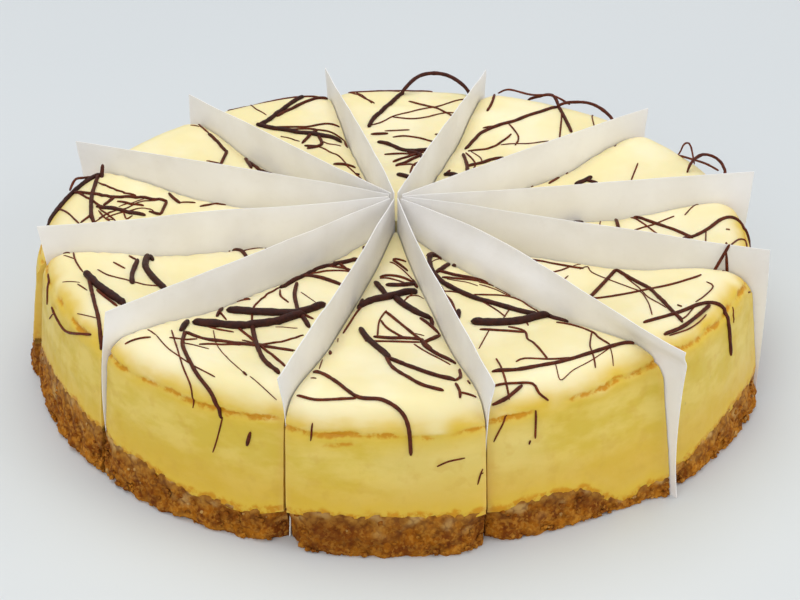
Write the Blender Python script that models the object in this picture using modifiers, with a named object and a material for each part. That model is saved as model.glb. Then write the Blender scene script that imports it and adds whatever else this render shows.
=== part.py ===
"""Round baked cheesecake on a biscuit crust, cut in twelve, with paper between the slices.

Metres, +Z up. The origin is on the cake's axis, at the height that the cake stands on, and
azimuths run counter-clockwise from +X. The front of the cake faces -Y.
"""

import math
from collections import namedtuple

import bmesh
import bpy
from mathutils import Vector, noise
from mathutils.bvhtree import BVHTree

MM = 0.001

# Driving dimensions of the round
FOOT_RADIUS = 119.2 * MM
CREST_RADIUS = 106.5 * MM
ROUNDING = 9.0 * MM
RIM_HEIGHT = 46.6 * MM
MIDDLE_HEIGHT = 42.3 * MM
CENTRE_HEIGHT = 43.5 * MM
CRUST_HEIGHT = 13.4 * MM
TIP_RADIUS = 4.2 * MM

# The twelve cuts, and how each slice that follows a cut differs from the round. A pair holds
# a slice's value at its start and at its end: how far it stands out, how much further its
# foot flares, how far its side falls away beside the cut, and how deep its crust is chipped.
CUT_AZIMUTHS = (-105.5, -77.7, -48.8, -19.3, 8.0, 38.5, 73.0, 103.0, 131.0, 157.0, 190.5, 221.6)
HALF_CUT = 0.6 * MM
STANDS_OUT = ((1.7, 1.7), (-1.6, -1.6), (0.8, 1.6), (0.0, 0.0), (0.0, 0.0), (0.4, 0.4),
              (0.0, 0.0), (0.0, 0.0), (0.0, 0.0), (0.0, 1.5), (-0.6, -0.6), (-0.8, -0.8))
FLARES = ((0.0, 0.0), (0.0, 0.0, 0.0, 0.4, 2.8), (0.0, 1.5), (0.6, 0.3), (0.2, 0.0), (0.0, 0.0),
          (0.0, 0.0), (0.0, 0.0), (0.0, 0.0), (0.0, 2.1), (1.3, 0.2), (1.0, 1.2))
SIDE_FALLS = ((0.8, 0.8), (0.8, -2.2), (0.8, 0.0), (0.9, 0.9), (0.9, 0.9), (0.9, 0.9),
              (0.9, 0.9), (0.9, 0.9), (0.9, 0.9), (0.9, 0.3), (0.4, 0.2), (1.3, 0.6))
CHIPS = ((5.0, 3.0), (2.5, 0.0), (0.5, 1.0), (2.0, 1.5), (1.5, 2.0), (2.5, 1.5),
         (2.0, 2.5), (1.5, 2.0), (2.5, 2.0), (1.5, 1.0), (1.0, 0.3), (0.3, 4.5))
RIM_LIFTS = (0.0, 0.5, 0.9, -0.3, 0.8, 1.1, 0.4, 0.9, 0.7, -0.2, 0.4, -0.4)

# The top sinks out to the first radius and rises from the second. Its swells and rounded cut
# edges reach their full size at the third, clear of the thin tip.
DIP_RADIUS = 40.0 * MM
RISE_RADIUS = 70.0 * MM
FULL_RADIUS = 30.0 * MM

# The rounded top of a cut edge, and the crack where the rim's skin tore while it baked
EDGE_FALL = 2.6 * MM
EDGE_WIDTH = 7.0 * MM
SHOULDER_ANGLE = 8.0
CRACK_ANGLE = 27.0
CRACK_DEPTH = 0.9 * MM
CRACK_WANDER = 9.0
CRACK_WAVES = 9.0
CRACK_SPREAD = 50.0
CRACK_OFFSETS = ((-24.0, -24.0), (-26.0, 0.0), (8.0, 8.0), (6.0, 6.0), (3.0, 3.0), (0.0, 0.0),
                 (2.0, 2.0), (-2.0, -2.0), (0.0, 0.0), (3.0, 3.0), (8.0, 2.0), (-6.0, -19.0))
SWELL = 0.5 * MM
SWELL_SIZE = 24.0 * MM

# Relief of the crust's crumbs
CRAG = 1.7 * MM
CRAG_SIZE = 4.5 * MM
CHIP_WIDTH = 4.0 * MM
FOOT_INSET = 0.7 * MM

# The crust's uneven top line: its height at the side from start to end of a slice, where it
# isn't level. Further in, the joint is flat.
CRUST_LINES = {1: (12.5, 13.5, 13.2, 14.0, 12.5),
               2: (11.0, 12.3, 11.4, 3.2, 6.0),
               3: (5.0, 9.0, 11.5, 12.6, 12.6),
               11: (15.5, 16.8, 17.2, 17.2, 16.0),
               12: (15.8, 13.0, 11.0, 9.2, 12.5)}
LINE_FROM = 104.0 * MM
LINE_TO = 117.0 * MM
LINE_WANDER = 1.6 * MM
LINE_SIZE = 11.0 * MM
JOINT_GAP = 0.34 * MM

# Paper dividers: how far each reaches from the axis at its top, half way down and at its
# foot, how far it bows to the side above the slices, and how far its outer corner sinks
PAPER_THICKNESS = 0.3 * MM
PAPER_TOP = 54.4 * MM
PAPER_FOOT = 0.4 * MM
PAPER_INNER = 2.5 * MM
PAPER_REACH = ((117.5, 113, 115), (119.5, 114, 112), (125.3, 122.5, 124.2), (121, 121.5, 121),
               (121, 119, 117), (116, 115.5, 115), (117, 116.5, 116), (117, 116.5, 116),
               (117, 116, 115), (121, 118.5, 116), (115, 112, 111), (111.5, 115.8, 114.5))
PAPER_BOW = (0.5, -0.7, 3.2, 0.5, -0.5, 0.6, 0.5, -0.6, 0.5, -0.7, 0.5, 0.6)
PAPER_SINKS = (0.0, 0.0, 3.0, 0.0, 0.0, 0.0, 0.0, 0.0, 0.0, 0.0, 0.0, 1.0)
PAPER_DIP = 0.8 * MM
BOW_FROM = 44.0 * MM
BOW_OVER = 10.0 * MM

# Facets
COLUMNS = 10
PAPER_COLUMNS = 5
PAPER_LEVELS = (PAPER_FOOT, 22.0 * MM, BOW_FROM, PAPER_TOP)
STRAND_STEP = 4.0 * MM
RIM_STEP = 3.0 * MM
STRAND_SLACK = 0.26 * MM

# How deep a strand of drizzle sits, its clearance from a cut, and how the skin under it is
# found: from this far outside and over this length
SIT = 0.18
STRAND_CLEARANCE = 0.45 * MM
PROBE_START = 10.0 * MM
PROBE_LENGTH = 25.0 * MM

# Thick drizzle, slice by slice, in millimetres: thickness, height of its arch, then the
# points (x, y) that the strand passes over. A point's distance from the axis is measured
# along the top, over the rim and down the side.
DRIZZLE = {
    1: ((2.6, 0, -14, -51.5, -8, -48, -2, -46, 6, -41.5),
        (2.2, 0, -0.5, -46.5, 3, -52, 6.5, -56, 10, -57),
        (1.8, 0, -6.5, -35, -5, -39.5, -3, -45),
        (1.6, 0, -3, -38.5, 2, -38.5, 5.5, -35.5),
        (1.2, 0, 7, -58.5, 11, -63, 13.5, -67, 15, -73, 16, -83),
        (1.2, 0, -6.5, -69.5, -2, -70.5, 3, -70.5, 7.5, -71.5),
        (1.4, 0, 7.5, -71.5, 8, -75, 12, -81.5, 16.5, -85),
        (1.3, 0, 7.5, -74, 10.5, -70, 13, -65),
        (2.0, 0, -10.5, -65, -8.5, -70.5, -4, -79, -2, -84),
        (1.5, 0, -2, -84, 3, -89.5, 7.5, -94.5, 12, -98.5, 16, -100.5),
        (1.2, 0, -3, -82.5, -1, -91, 3, -98, 7, -103, 12.5, -106),
        (1.4, 0, 10.2, -56, 10.6, -61),
        (1.2, 0, -23, -91.5, -17, -100, -11, -108, -4, -109.5, 1, -113, 3.2, -117.5, 4, -125.5)),
    2: ((1.8, 0, 14, -18.5, 11, -20, 11, -28, 13, -35, 16, -40, 21, -45.5, 28, -51, 43, -59),
        (1.7, 0, 18.5, -22, 18.5, -26),
        (1.6, 0, 17, -25, 14.5, -30, 12.5, -32),
        (1.2, 0, 14, -31.5, 20, -34, 29.5, -35.3),
        (1.8, 0, 19, -56, 18.5, -60.5),
        (3.0, 0, 23, -63, 30, -64, 37, -63.5, 42, -61, 46, -59),
        (1.7, 0, 45.5, -58, 48, -61, 51.5, -63),
        (1.3, 0, 27, -99.5, 34, -99, 41, -96.5, 48, -94, 60, -87.5, 69, -82.5),
        (1.2, 0, 27, -112, 31, -109.5, 35, -105.5)),
    3: ((1.3, 0, 68, -30, 63, -39, 58, -48),
        (1.3, 0, 68, -30, 72, -38, 76, -47, 78, -55, 80.5, -65, 82.5, -71),
        (1.3, 0, 71.5, -71, 82, -66, 88, -61.5, 93, -59, 97, -59.5, 101, -63, 110, -67.5),
        (1.3, 0, 76.5, -78, 82, -73.5, 87, -67.5, 92, -60.5)),
    4: ((1.7, 0, 57, 5, 62, 7, 67, 8.2, 76, 8, 80, 6.5),
        (1.3, 0, 73, 7.5, 73, -1.5),
        (1.2, 0, 79, 6.5, 86, -1.5, 95, -14.5),
        (1.3, 0, 92, -14, 96, -13.5, 101, -9, 106, -3, 111, 0, 116, -2, 121, -5, 126, -9)),
    5: ((1.8, 0, 62, 33.5, 68, 38),
        (1.5, 0, 66, 36.5, 69.5, 33.5),
        (1.2, 6.5, 100, 31.5, 104, 37, 108, 36, 110, 31, 111, 25)),
    6: ((1.4, 0, 25, 64, 31, 75, 38, 79, 50, 83.5, 60, 89),
        (1.3, 4.0, 59.5, 88.5, 66, 90, 72, 86, 80, 78),
        (1.3, 3.5, 50, 100, 54, 99, 58, 95, 60.5, 89),
        (1.4, 0, 60.5, 89, 61.5, 82, 63.5, 69),
        (1.4, 0, 24, 59, 25, 51, 25, 43.5),
        (1.4, 0, 25, 48.5, 30, 51.5, 37, 56),
        (2.0, 0, 17, 43.5, 22, 40.5)),
    7: ((1.9, 0, 0.5, 42.5, 5, 39.5),
        (1.1, 0, -1, 53.5, 3, 56.5, 10, 61.5),
        (1.3, 0, 0, 49.5, 5, 54.5, 9, 58.5),
        (1.7, 0, -6.5, 70.5, -2, 68, 2, 64, 5, 62.5, 14, 63.5),
        (1.6, 0, 4, 62, 8, 59.5, 10, 55.5),
        (1.2, 0, -9, 77, -3, 77.5),
        (1.8, 0, -10, 81.5, -8, 88, -4, 94, 0, 101, 3, 106),
        (1.6, 7.0, 2, 104, 10, 110, 19, 109, 29, 104)),
    8: ((1.2, 0, -22, 51, -14.5, 51.5),
        (1.3, 0, -32, 65.5, -27, 68.5, -29, 76.5),
        (1.3, 0, -34, 68.5, -31, 75.5, -29, 78.5),
        (1.9, 0, -51, 79, -48, 77.5, -38, 76.5, -26, 74.5, -20, 72.5),
        (1.9, 0, -50, 78, -45, 85.5, -38, 97.5, -35, 102),
        (1.4, 0, -44, 85.5, -35, 95.5, -26, 103.5)),
    9: ((1.4, 0, -54, 58.5, -53, 55, -51, 48.5),
        (1.4, 0, -53, 55.5, -46, 45.5, -43, 48.5),
        (1.3, 0, -62, 50.5, -61, 56.5, -60.5, 60),
        (1.4, 0, -60.5, 59, -66, 67.5, -68, 70.5)),
    10: ((1.5, 0, -98, -1, -100, 5.5, -102, 19.5, -102.5, 34),
         (1.6, 0, -83, 8.5, -94, 10, -99, 10.5),
         (1.3, 0, -77.5, 21, -88, 20.5, -94, 18.5, -105, 20.5, -109, 23.5),
         (1.2, 0, -77.5, 20.5, -78, 15, -78.5, 11.5, -82, 11.5),
         (1.2, 0, -94.5, 18, -97, 12.5),
         (2.0, 0, -102, 35, -106, 31, -109, 25, -112.5, 14, -117, 5)),
    11: ((2.3, 0, -79.5, -20, -79, -29, -75, -38, -71, -44),
         (1.7, 0, -82, -25, -82.3, -35, -81.3, -42.5),
         (2.7, 0, -96, -39, -91, -47, -81.5, -58.5),
         (1.3, 0, -94.5, -42.5, -92.5, -50, -90.5, -57.5, -88.5, -64.5, -87.5, -70, -88, -74.5,
          -90, -78.5, -93.5, -81.5, -98, -84.5, -103, -88),
         (1.4, 0, -53, -12, -50, -15, -47.5, -20.5)),
    12: ((2.8, 0, -51, -55, -42, -56.3, -30, -56.8, -22, -51.5),
         (3.0, 0, -60, -66, -50, -66, -40, -64, -28, -57.5),
         (1.6, 0, -29, -57, -26, -65),
         (1.4, 0, -31, -37.5, -31.3, -45.5, -29.5, -57),
         (1.7, 0, -12, -22.5, -19, -25, -25, -27, -29, -32, -36, -40.5),
         (1.4, 0, -30, -32, -24, -33.5, -17, -38.5),
         (2.0, 0, -62, -65, -63.3, -72),
         (1.2, 0, -62, -72.5, -57, -76, -48, -78, -30, -81.5),
         (1.3, 0, -62, -72.5, -61.5, -82.5, -57, -94.5, -52, -103.5, -51.5, -110),
         (1.5, 0, -43, -64.5, -41, -76.5, -38, -88.5, -33, -97.5)),
}

Slice = namedtuple("Slice", "number start end outs flares falls chips lift crack line")


def all_slices():
    """The twelve wedges, each from its cut to the next one."""
    bounds = CUT_AZIMUTHS + (CUT_AZIMUTHS[0] + 360.0,)
    level = (CRUST_HEIGHT / MM,) * 5
    for index in range(len(CUT_AZIMUTHS)):
        yield Slice(number=index + 1,
                    start=math.radians(bounds[index]),
                    end=math.radians(bounds[index + 1]),
                    outs=in_metres(STANDS_OUT[index]),
                    flares=in_metres(FLARES[index]),
                    falls=in_metres(SIDE_FALLS[index]),
                    chips=in_metres(CHIPS[index]),
                    lift=RIM_LIFTS[index] * MM,
                    crack=CRACK_OFFSETS[index],
                    line=in_metres(CRUST_LINES.get(index + 1, level)))


def in_metres(values):
    """The same values, given in millimetres, as metres."""
    return tuple(value * MM for value in values)


def blend(values, share):
    """Value at a share of the way through evenly spaced values."""
    place = min(max(share, 0.0), 1.0) * (len(values) - 1)
    index = min(int(place), len(values) - 2)
    return values[index] + (values[index + 1] - values[index]) * (place - index)


def smooth(value):
    """Eases from 0 to 1 as value goes from 0 to 1."""
    value = min(max(value, 0.0), 1.0)
    return value * value * (3.0 - 2.0 * value)


def top_height(cake, radius):
    """Height of the cream's top, which sinks a little from the centre and rises to the rim."""
    dip = (MIDDLE_HEIGHT - CENTRE_HEIGHT) * min(radius / DIP_RADIUS, 1.0)
    rise = RIM_HEIGHT + cake.lift - MIDDLE_HEIGHT
    return CENTRE_HEIGHT + dip + rise * smooth((radius - RISE_RADIUS) / (CREST_RADIUS - RISE_RADIUS))


def shoulder(cake):
    """Radius and height where the rounded rim meets the side."""
    angle = math.radians(SHOULDER_ANGLE)
    return (CREST_RADIUS + ROUNDING * math.cos(angle),
            RIM_HEIGHT + cake.lift - ROUNDING + ROUNDING * math.sin(angle))


def side_radius(cake, height, share):
    """Radius of the side, which flares towards the foot."""
    top_radius, top = shoulder(cake)
    foot = FOOT_RADIUS + blend(cake.flares, share)
    return foot + (top_radius - foot) * height / top


def rim_point(cake, degrees):
    """Radius and height on the rounded rim, and the direction that its skin faces."""
    angle = math.radians(degrees)
    facing = (math.cos(angle), math.sin(angle))
    return (CREST_RADIUS + ROUNDING * facing[0],
            RIM_HEIGHT + cake.lift - ROUNDING + ROUNDING * facing[1]), facing


def unrolled(cake, distance, share):
    """Point and facing of the skin at a distance from the axis, measured along the skin."""
    if distance <= CREST_RADIUS:
        return (distance, top_height(cake, distance)), (0.0, 1.0)
    degrees = 90.0 - math.degrees((distance - CREST_RADIUS) / ROUNDING)
    if degrees > SHOULDER_ANGLE:
        return rim_point(cake, degrees)
    past = distance - CREST_RADIUS - ROUNDING * math.radians(90.0 - SHOULDER_ANGLE)
    height = shoulder(cake)[1] - past
    return (side_radius(cake, height, share), height), (1.0, 0.0)


def column_azimuth(cake, radius, share):
    """Azimuth of a column at a share of the way from the first cut face to the second."""
    margin = math.asin(HALF_CUT / radius)
    return cake.start + margin + (cake.end - cake.start - 2.0 * margin) * share


def from_cut(cake, radius, share):
    """Distance to the nearer cut face."""
    azimuth = column_azimuth(cake, radius, share)
    nearer = min(azimuth - cake.start, cake.end - azimuth, math.pi / 2)
    return radius * math.sin(nearer) - HALF_CUT


def near_cut(cake, radius, share):
    """1 at a cut face, easing to 0 over the width of the rounded edge."""
    return max(1.0 - from_cut(cake, radius, share) / EDGE_WIDTH, 0.0) ** 2


def edge_fall(cake, radius, share):
    """How far the top falls away where it nears a cut."""
    return EDGE_FALL * near_cut(cake, radius, share) * smooth(radius / FULL_RADIUS)


def side_fall(cake, share):
    """How far the side falls away, or stands out, where it nears a cut."""
    return cake.falls[0 if share < 0.5 else 1] * near_cut(cake, FOOT_RADIUS, share)


def reach(cake, share):
    """Scale of every radius on one column, from how far the slice stands out there."""
    return 1.0 + blend(cake.outs, share) / FOOT_RADIUS


def placed(cake, radius, height, share):
    """World point of a section point on one column."""
    radius *= reach(cake, share)
    azimuth = column_azimuth(cake, radius, share)
    return Vector((radius * math.cos(azimuth), radius * math.sin(azimuth), height))


def crust_line(cake, radius, share):
    """Height where cream and crust meet: level inside, wandering up and down at the side."""
    azimuth = column_azimuth(cake, radius, share)
    wander = LINE_WANDER * noise.noise((azimuth * FOOT_RADIUS / LINE_SIZE, cake.number * 3.7, 0.0))
    outer = smooth((radius - LINE_FROM) / (LINE_TO - LINE_FROM))
    return CRUST_HEIGHT + (blend(cake.line, share) - CRUST_HEIGHT + wander) * outer


def chipped(cake, radius, share):
    """How deep the crust's corner is broken away beside each cut."""
    near = math.exp(-(from_cut(cake, radius, share) / CHIP_WIDTH) ** 2)
    return cake.chips[0 if share < 0.5 else 1] * near


def crack_angle(cake, degrees, share):
    """Moves an angle on the rim so that the crack wanders as it goes round."""
    azimuth = column_azimuth(cake, CREST_RADIUS, share)
    wander = noise.noise((azimuth * CRACK_WAVES, cake.number * 1.3, 5.0))
    nearness = 1.0 - smooth(abs(degrees - CRACK_ANGLE) / CRACK_SPREAD)
    return degrees + (blend(cake.crack, share) + CRACK_WANDER * wander) * nearness


JOINT_RADII = (TIP_RADIUS, LINE_FROM, 112 * MM)
CRUST_LEVELS = (0.12, 0.40, 0.72, 1.0)
SIDE_HEIGHTS = (21 * MM, 30 * MM)
RIM_ANGLES = ((SHOULDER_ANGLE, 0.0), (18.0, 0.2 * MM), (CRACK_ANGLE, -CRACK_DEPTH),
              (37.0, 0.35 * MM), (63.0, 0.0), (90.0, 0.0))
TOP_RADII = (96 * MM, 84 * MM, 68 * MM, 46 * MM, 22 * MM, TIP_RADIUS)


def cream_ring(cake, share):
    """Closed section of the cream on one column, from the tip's foot out, up and back."""
    ring = [placed(cake, radius, crust_line(cake, radius, share) + JOINT_GAP / 2, share)
            for radius in JOINT_RADII]
    aside = side_fall(cake, share)
    foot = crust_line(cake, FOOT_RADIUS, share) + JOINT_GAP / 2
    for height in (foot,) + SIDE_HEIGHTS:
        ring.append(placed(cake, side_radius(cake, height, share) - aside, height, share))
    for degrees, out in RIM_ANGLES:
        (radius, height), facing = rim_point(cake, crack_angle(cake, degrees, share))
        fall = aside + (edge_fall(cake, radius, share) - aside) * facing[1]
        ring.append(placed(cake, radius + (out - fall) * facing[0],
                           height + (out - fall) * facing[1], share))
    for radius in TOP_RADII:
        azimuth = column_azimuth(cake, radius, share)
        spot = Vector((math.cos(azimuth), math.sin(azimuth), cake.number)) * radius / SWELL_SIZE
        swell = SWELL * noise.noise(spot) * smooth(radius / FULL_RADIUS)
        height = top_height(cake, radius) + swell - edge_fall(cake, radius, share)
        ring.append(placed(cake, radius, height, share))
    return ring


def crust_ring(cake, share):
    """Closed section of the crust on one column, from the tip's foot out, up and back."""
    chip = chipped(cake, FOOT_RADIUS, share)
    aside = side_fall(cake, share)
    azimuth = column_azimuth(cake, FOOT_RADIUS, share)
    line = crust_line(cake, FOOT_RADIUS, share) - JOINT_GAP / 2
    foot = side_radius(cake, 0.0, share) - aside - chip - FOOT_INSET
    ring = [placed(cake, TIP_RADIUS, 0.0, share), placed(cake, foot, 0.0, share)]
    for level in CRUST_LEVELS:
        height = line * level
        spot = (azimuth * FOOT_RADIUS / CRAG_SIZE, cake.number * 2.1, height / CRAG_SIZE)
        relief = (CRAG * noise.noise(spot) - chip) * (1.0 - level ** 3)
        ring.append(placed(cake, side_radius(cake, height, share) - aside + relief, height, share))
    for radius in reversed(JOINT_RADII):
        ring.append(placed(cake, radius, crust_line(cake, radius, share) - JOINT_GAP / 2, share))
    return ring


def column_shares():
    """Columns crowd towards the cuts, where the skin bends most."""
    return [0.5 - 0.5 * math.cos(math.pi * column / COLUMNS) for column in range(COLUMNS + 1)]


def lofted(name, rings, material):
    """Closed body through rings that have the same number of points."""
    shape = bmesh.new()
    loops = [[shape.verts.new(point) for point in ring] for ring in rings]
    for before, after in zip(loops, loops[1:]):
        for index in range(len(before)):
            shape.faces.new((before[index - 1], before[index], after[index], after[index - 1]))
    bmesh.ops.triangulate(shape, faces=shape.faces, quad_method="SHORT_EDGE")
    shape.faces.new(loops[0][::-1])
    shape.faces.new(loops[-1])
    bmesh.ops.recalc_face_normals(shape, faces=shape.faces)
    return finished(name, shape, material)


def finished(name, shape, material):
    """Makes the object of a shape, smooth but for its sharp edges."""
    mesh = bpy.data.meshes.new(name)
    shape.to_mesh(mesh)
    shape.free()
    mesh.materials.append(material)
    mesh.shade_smooth()
    mesh.set_sharp_from_angle(angle=math.radians(40))
    return bpy.data.objects.new(name, mesh)


def spline_points(stops, step_of):
    """Smooth curve through the stops, as points about one step apart."""
    points = [stops[0]]
    ends = [stops[0]] + list(stops) + [stops[-1]]
    for before, start, end, after in zip(ends, ends[1:], ends[2:], ends[3:]):
        steps = max(1, round((end - start).length / step_of(start)))
        for index in range(1, steps + 1):
            t = index / steps
            points.append(0.5 * (2 * start + (end - before) * t
                                 + (2 * before - 5 * start + 4 * end - after) * t ** 2
                                 + (3 * start - before - 3 * end + after) * t ** 3))
    return points


def strand_step(point):
    """Strands take shorter steps where they bend over the rim."""
    return RIM_STEP if point.length > CREST_RADIUS - 4 * MM else STRAND_STEP


def share_of(cake, point):
    """Share of the way through the slice at which a point lies."""
    middle = (cake.start + cake.end) / 2
    turn = math.remainder(math.atan2(point.y, point.x) - middle, 2.0 * math.pi)
    return 0.5 + turn / (cake.end - cake.start)


def clear_of_cuts(cake, point, margin):
    """Whether a point is further than the margin inside both cut faces."""
    share = share_of(cake, point)
    inside = min(share, 1.0 - share) * (cake.end - cake.start)
    return inside > 0.0 and point.xy.length * math.sin(min(inside, math.pi / 2)) > margin


def strand_route(cake, skin, strand):
    """The centre line of one strand, laid on the cream's skin, and raised where it arches."""
    width, arch, *numbers = (value * MM for value in strand)
    stops = [Vector(pair) for pair in zip(numbers[0::2], numbers[1::2])]
    flat = spline_points(stops, strand_step)
    route = []
    for index, spot in enumerate(flat):
        share = share_of(cake, spot)
        (radius, height), facing = unrolled(cake, spot.length, share)
        out = spot.normalized()
        normal = Vector((out.x * facing[0], out.y * facing[0], facing[1]))
        reached = radius * reach(cake, share)
        start = Vector((out.x * reached, out.y * reached, height)) + normal * PROBE_START
        hit = skin.ray_cast(start, -normal, PROBE_LENGTH)[0]
        raised = arch * math.sin(math.pi * index / (len(flat) - 1))
        if hit is None or not clear_of_cuts(cake, hit, HALF_CUT + width / 2 + STRAND_CLEARANCE):
            if len(route) > 1:
                break
            route = []
            continue
        route.append(hit + normal * (SIT * width + raised))
    return route


def thinned(route):
    """Drops the points that lie within the slack of a straight run."""
    kept = [route[0]]
    for point, following in zip(route[1:], route[2:]):
        run = (following - kept[-1]).normalized()
        if (point - kept[-1]).cross(run).length > STRAND_SLACK:
            kept.append(point)
    return kept + [route[-1]]


def strand_body(name, route, width):
    """Closed tube along a route, made as a round curve and turned into a mesh."""
    curve = bpy.data.curves.new(name, "CURVE")
    curve.dimensions = "3D"
    curve.bevel_depth = width / 2
    curve.bevel_resolution = 1
    curve.use_fill_caps = True
    spline = curve.splines.new("POLY")
    spline.points.add(len(route) - 1)
    for place, point in zip(spline.points, route):
        place.co = (*point, 1.0)
    guide = bpy.data.objects.new(name, curve)
    bpy.context.scene.collection.objects.link(guide)
    view = bpy.context.evaluated_depsgraph_get()
    mesh = bpy.data.meshes.new_from_object(guide.evaluated_get(view))
    shape = bmesh.new()
    shape.from_mesh(mesh)
    bmesh.ops.remove_doubles(shape, verts=shape.verts, dist=0.001 * MM)
    shape.to_mesh(mesh)
    shape.free()
    body = bpy.data.objects.new(name, mesh)
    body.matrix_world = guide.matrix_world
    bpy.data.objects.remove(guide)
    bpy.data.curves.remove(curve)
    return body


def drop_scraps(mesh):
    """Keeps the largest connected body of a mesh."""
    shape = bmesh.new()
    shape.from_mesh(mesh)
    unseen = set(shape.verts)
    bodies = []
    while unseen:
        front = [unseen.pop()]
        body = list(front)
        while front:
            vert = front.pop()
            for edge in vert.link_edges:
                other = edge.other_vert(vert)
                if other in unseen:
                    unseen.remove(other)
                    front.append(other)
                    body.append(other)
        bodies.append(body)
    bodies.sort(key=len)
    for scrap in bodies[:-1]:
        bmesh.ops.delete(shape, geom=scrap, context="VERTS")
    shape.to_mesh(mesh)
    shape.free()


def add_drizzle(cake, cream, pieces):
    """Joins the slice's thick strands to its cream in one union."""
    view = bpy.context.evaluated_depsgraph_get()
    skin = BVHTree.FromObject(cream, view)
    for index, strand in enumerate(DRIZZLE[cake.number]):
        route = strand_route(cake, skin, strand)
        if len(route) > 1:
            name = f"strand_{cake.number:02d}_{index:02d}"
            pieces.objects.link(strand_body(name, thinned(route), strand[0] * MM))
    union = cream.modifiers.new("drizzle", "BOOLEAN")
    union.operation = "UNION"
    union.operand_type = "COLLECTION"
    union.collection = pieces
    union.solver = "EXACT"
    view = bpy.context.evaluated_depsgraph_get()
    joined = bpy.data.meshes.new_from_object(cream.evaluated_get(view))
    cream.modifiers.remove(union)
    drop_scraps(joined)
    cream.data = joined
    for body in list(pieces.objects):
        bpy.data.objects.remove(body)


def paper_edge(index, height):
    """Radius of a divider's outer edge, a curve through its three named reaches."""
    top, middle, foot = (value * MM for value in PAPER_REACH[index])
    up = height / PAPER_TOP
    return (foot * (1.0 - up) * (1.0 - 2.0 * up) + middle * 4.0 * up * (1.0 - up)
            + top * up * (2.0 * up - 1.0))


def paper_divider(index, material):
    """One sheet in its cut: flat between the slices and slightly bowed above them."""
    azimuth = math.radians(CUT_AZIMUTHS[index])
    along = Vector((math.cos(azimuth), math.sin(azimuth), 0.0))
    across = Vector((-math.sin(azimuth), math.cos(azimuth), 0.0))
    shape = bmesh.new()
    bmesh.ops.create_grid(shape, x_segments=PAPER_COLUMNS, y_segments=len(PAPER_LEVELS) - 1,
                          size=0.5)
    for vert in shape.verts:
        share = vert.co.x + 0.5
        height = PAPER_LEVELS[round((vert.co.y + 0.5) * (len(PAPER_LEVELS) - 1))]
        raised = smooth((height - BOW_FROM) / BOW_OVER)
        outer = paper_edge(index, height)
        radius = PAPER_INNER + (outer - PAPER_INNER) * share
        bow = PAPER_BOW[index] * MM * math.sin(1.5 * math.pi * share) * raised
        dip = PAPER_DIP * noise.noise((3.0 * share, index * 1.7, 0.0)) * raised
        dip -= PAPER_SINKS[index] * MM * share ** 2 * raised
        vert.co = along * radius + across * bow + Vector((0.0, 0.0, height + dip))
    bmesh.ops.triangulate(shape, faces=shape.faces)
    sheet = finished(f"paper_{index + 1:02d}", shape, material)
    solid = sheet.modifiers.new("thickness", "SOLIDIFY")
    solid.thickness = PAPER_THICKNESS
    solid.offset = 0.0
    return sheet


def plain_material(name, colour, roughness):
    """Principled material of one colour."""
    material = bpy.data.materials.new(name)
    material.use_nodes = True
    shader = material.node_tree.nodes["Principled BSDF"]
    shader.inputs["Base Color"].default_value = (*colour, 1.0)
    shader.inputs["Roughness"].default_value = roughness
    shader.inputs["Metallic"].default_value = 0.0
    return material


def make_cake():
    """Cream and crust for every slice, and a paper divider in every cut."""
    cake_parts = bpy.data.collections.new("cheesecake")
    pieces = bpy.data.collections.new("drizzle_pieces")
    for collection in (cake_parts, pieces):
        bpy.context.scene.collection.children.link(collection)
    cream_look = plain_material("cream", (0.88, 0.76, 0.42), 0.55)
    crust_look = plain_material("biscuit", (0.38, 0.18, 0.06), 0.9)
    paper_look = plain_material("paper", (0.78, 0.75, 0.70), 0.6)
    for cake in all_slices():
        shares = column_shares()
        cream = lofted(f"filling_{cake.number:02d}",
                       [cream_ring(cake, share) for share in shares], cream_look)
        crust = lofted(f"crust_{cake.number:02d}",
                       [crust_ring(cake, share) for share in shares], crust_look)
        cake_parts.objects.link(cream)
        cake_parts.objects.link(crust)
        add_drizzle(cake, cream, pieces)
    for index in range(len(CUT_AZIMUTHS)):
        cake_parts.objects.link(paper_divider(index, paper_look))
    bpy.data.collections.remove(pieces)


for leftover in list(bpy.data.objects):
    bpy.data.objects.remove(leftover, do_unlink=True)
make_cake()
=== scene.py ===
import math
import random
from collections import namedtuple

import bmesh
import bpy
from mathutils import Matrix, Vector, noise
from mathutils.bvhtree import BVHTree


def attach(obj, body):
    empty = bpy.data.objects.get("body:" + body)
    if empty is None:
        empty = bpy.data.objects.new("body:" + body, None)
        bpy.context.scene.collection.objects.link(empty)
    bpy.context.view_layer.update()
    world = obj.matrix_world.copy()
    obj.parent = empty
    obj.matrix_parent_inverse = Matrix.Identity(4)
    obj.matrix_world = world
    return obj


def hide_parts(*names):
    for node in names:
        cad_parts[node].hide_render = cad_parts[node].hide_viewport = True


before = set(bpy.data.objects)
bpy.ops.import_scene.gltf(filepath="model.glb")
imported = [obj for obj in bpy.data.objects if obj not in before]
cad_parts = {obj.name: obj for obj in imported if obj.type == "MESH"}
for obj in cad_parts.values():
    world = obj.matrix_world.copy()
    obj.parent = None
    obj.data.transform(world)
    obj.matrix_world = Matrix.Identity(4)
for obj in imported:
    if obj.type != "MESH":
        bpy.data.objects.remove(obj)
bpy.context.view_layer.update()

MM = 0.001

# The round and its slices, with the sizes that the solids are made from
FOOT_RADIUS = 119.2 * MM
CREST_RADIUS = 106.5 * MM
ROUNDING = 9.0 * MM
RIM_HEIGHT = 46.6 * MM
MIDDLE_HEIGHT = 42.3 * MM
CENTRE_HEIGHT = 43.5 * MM
CRUST_HEIGHT = 13.4 * MM
TIP_RADIUS = 4.2 * MM
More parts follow.
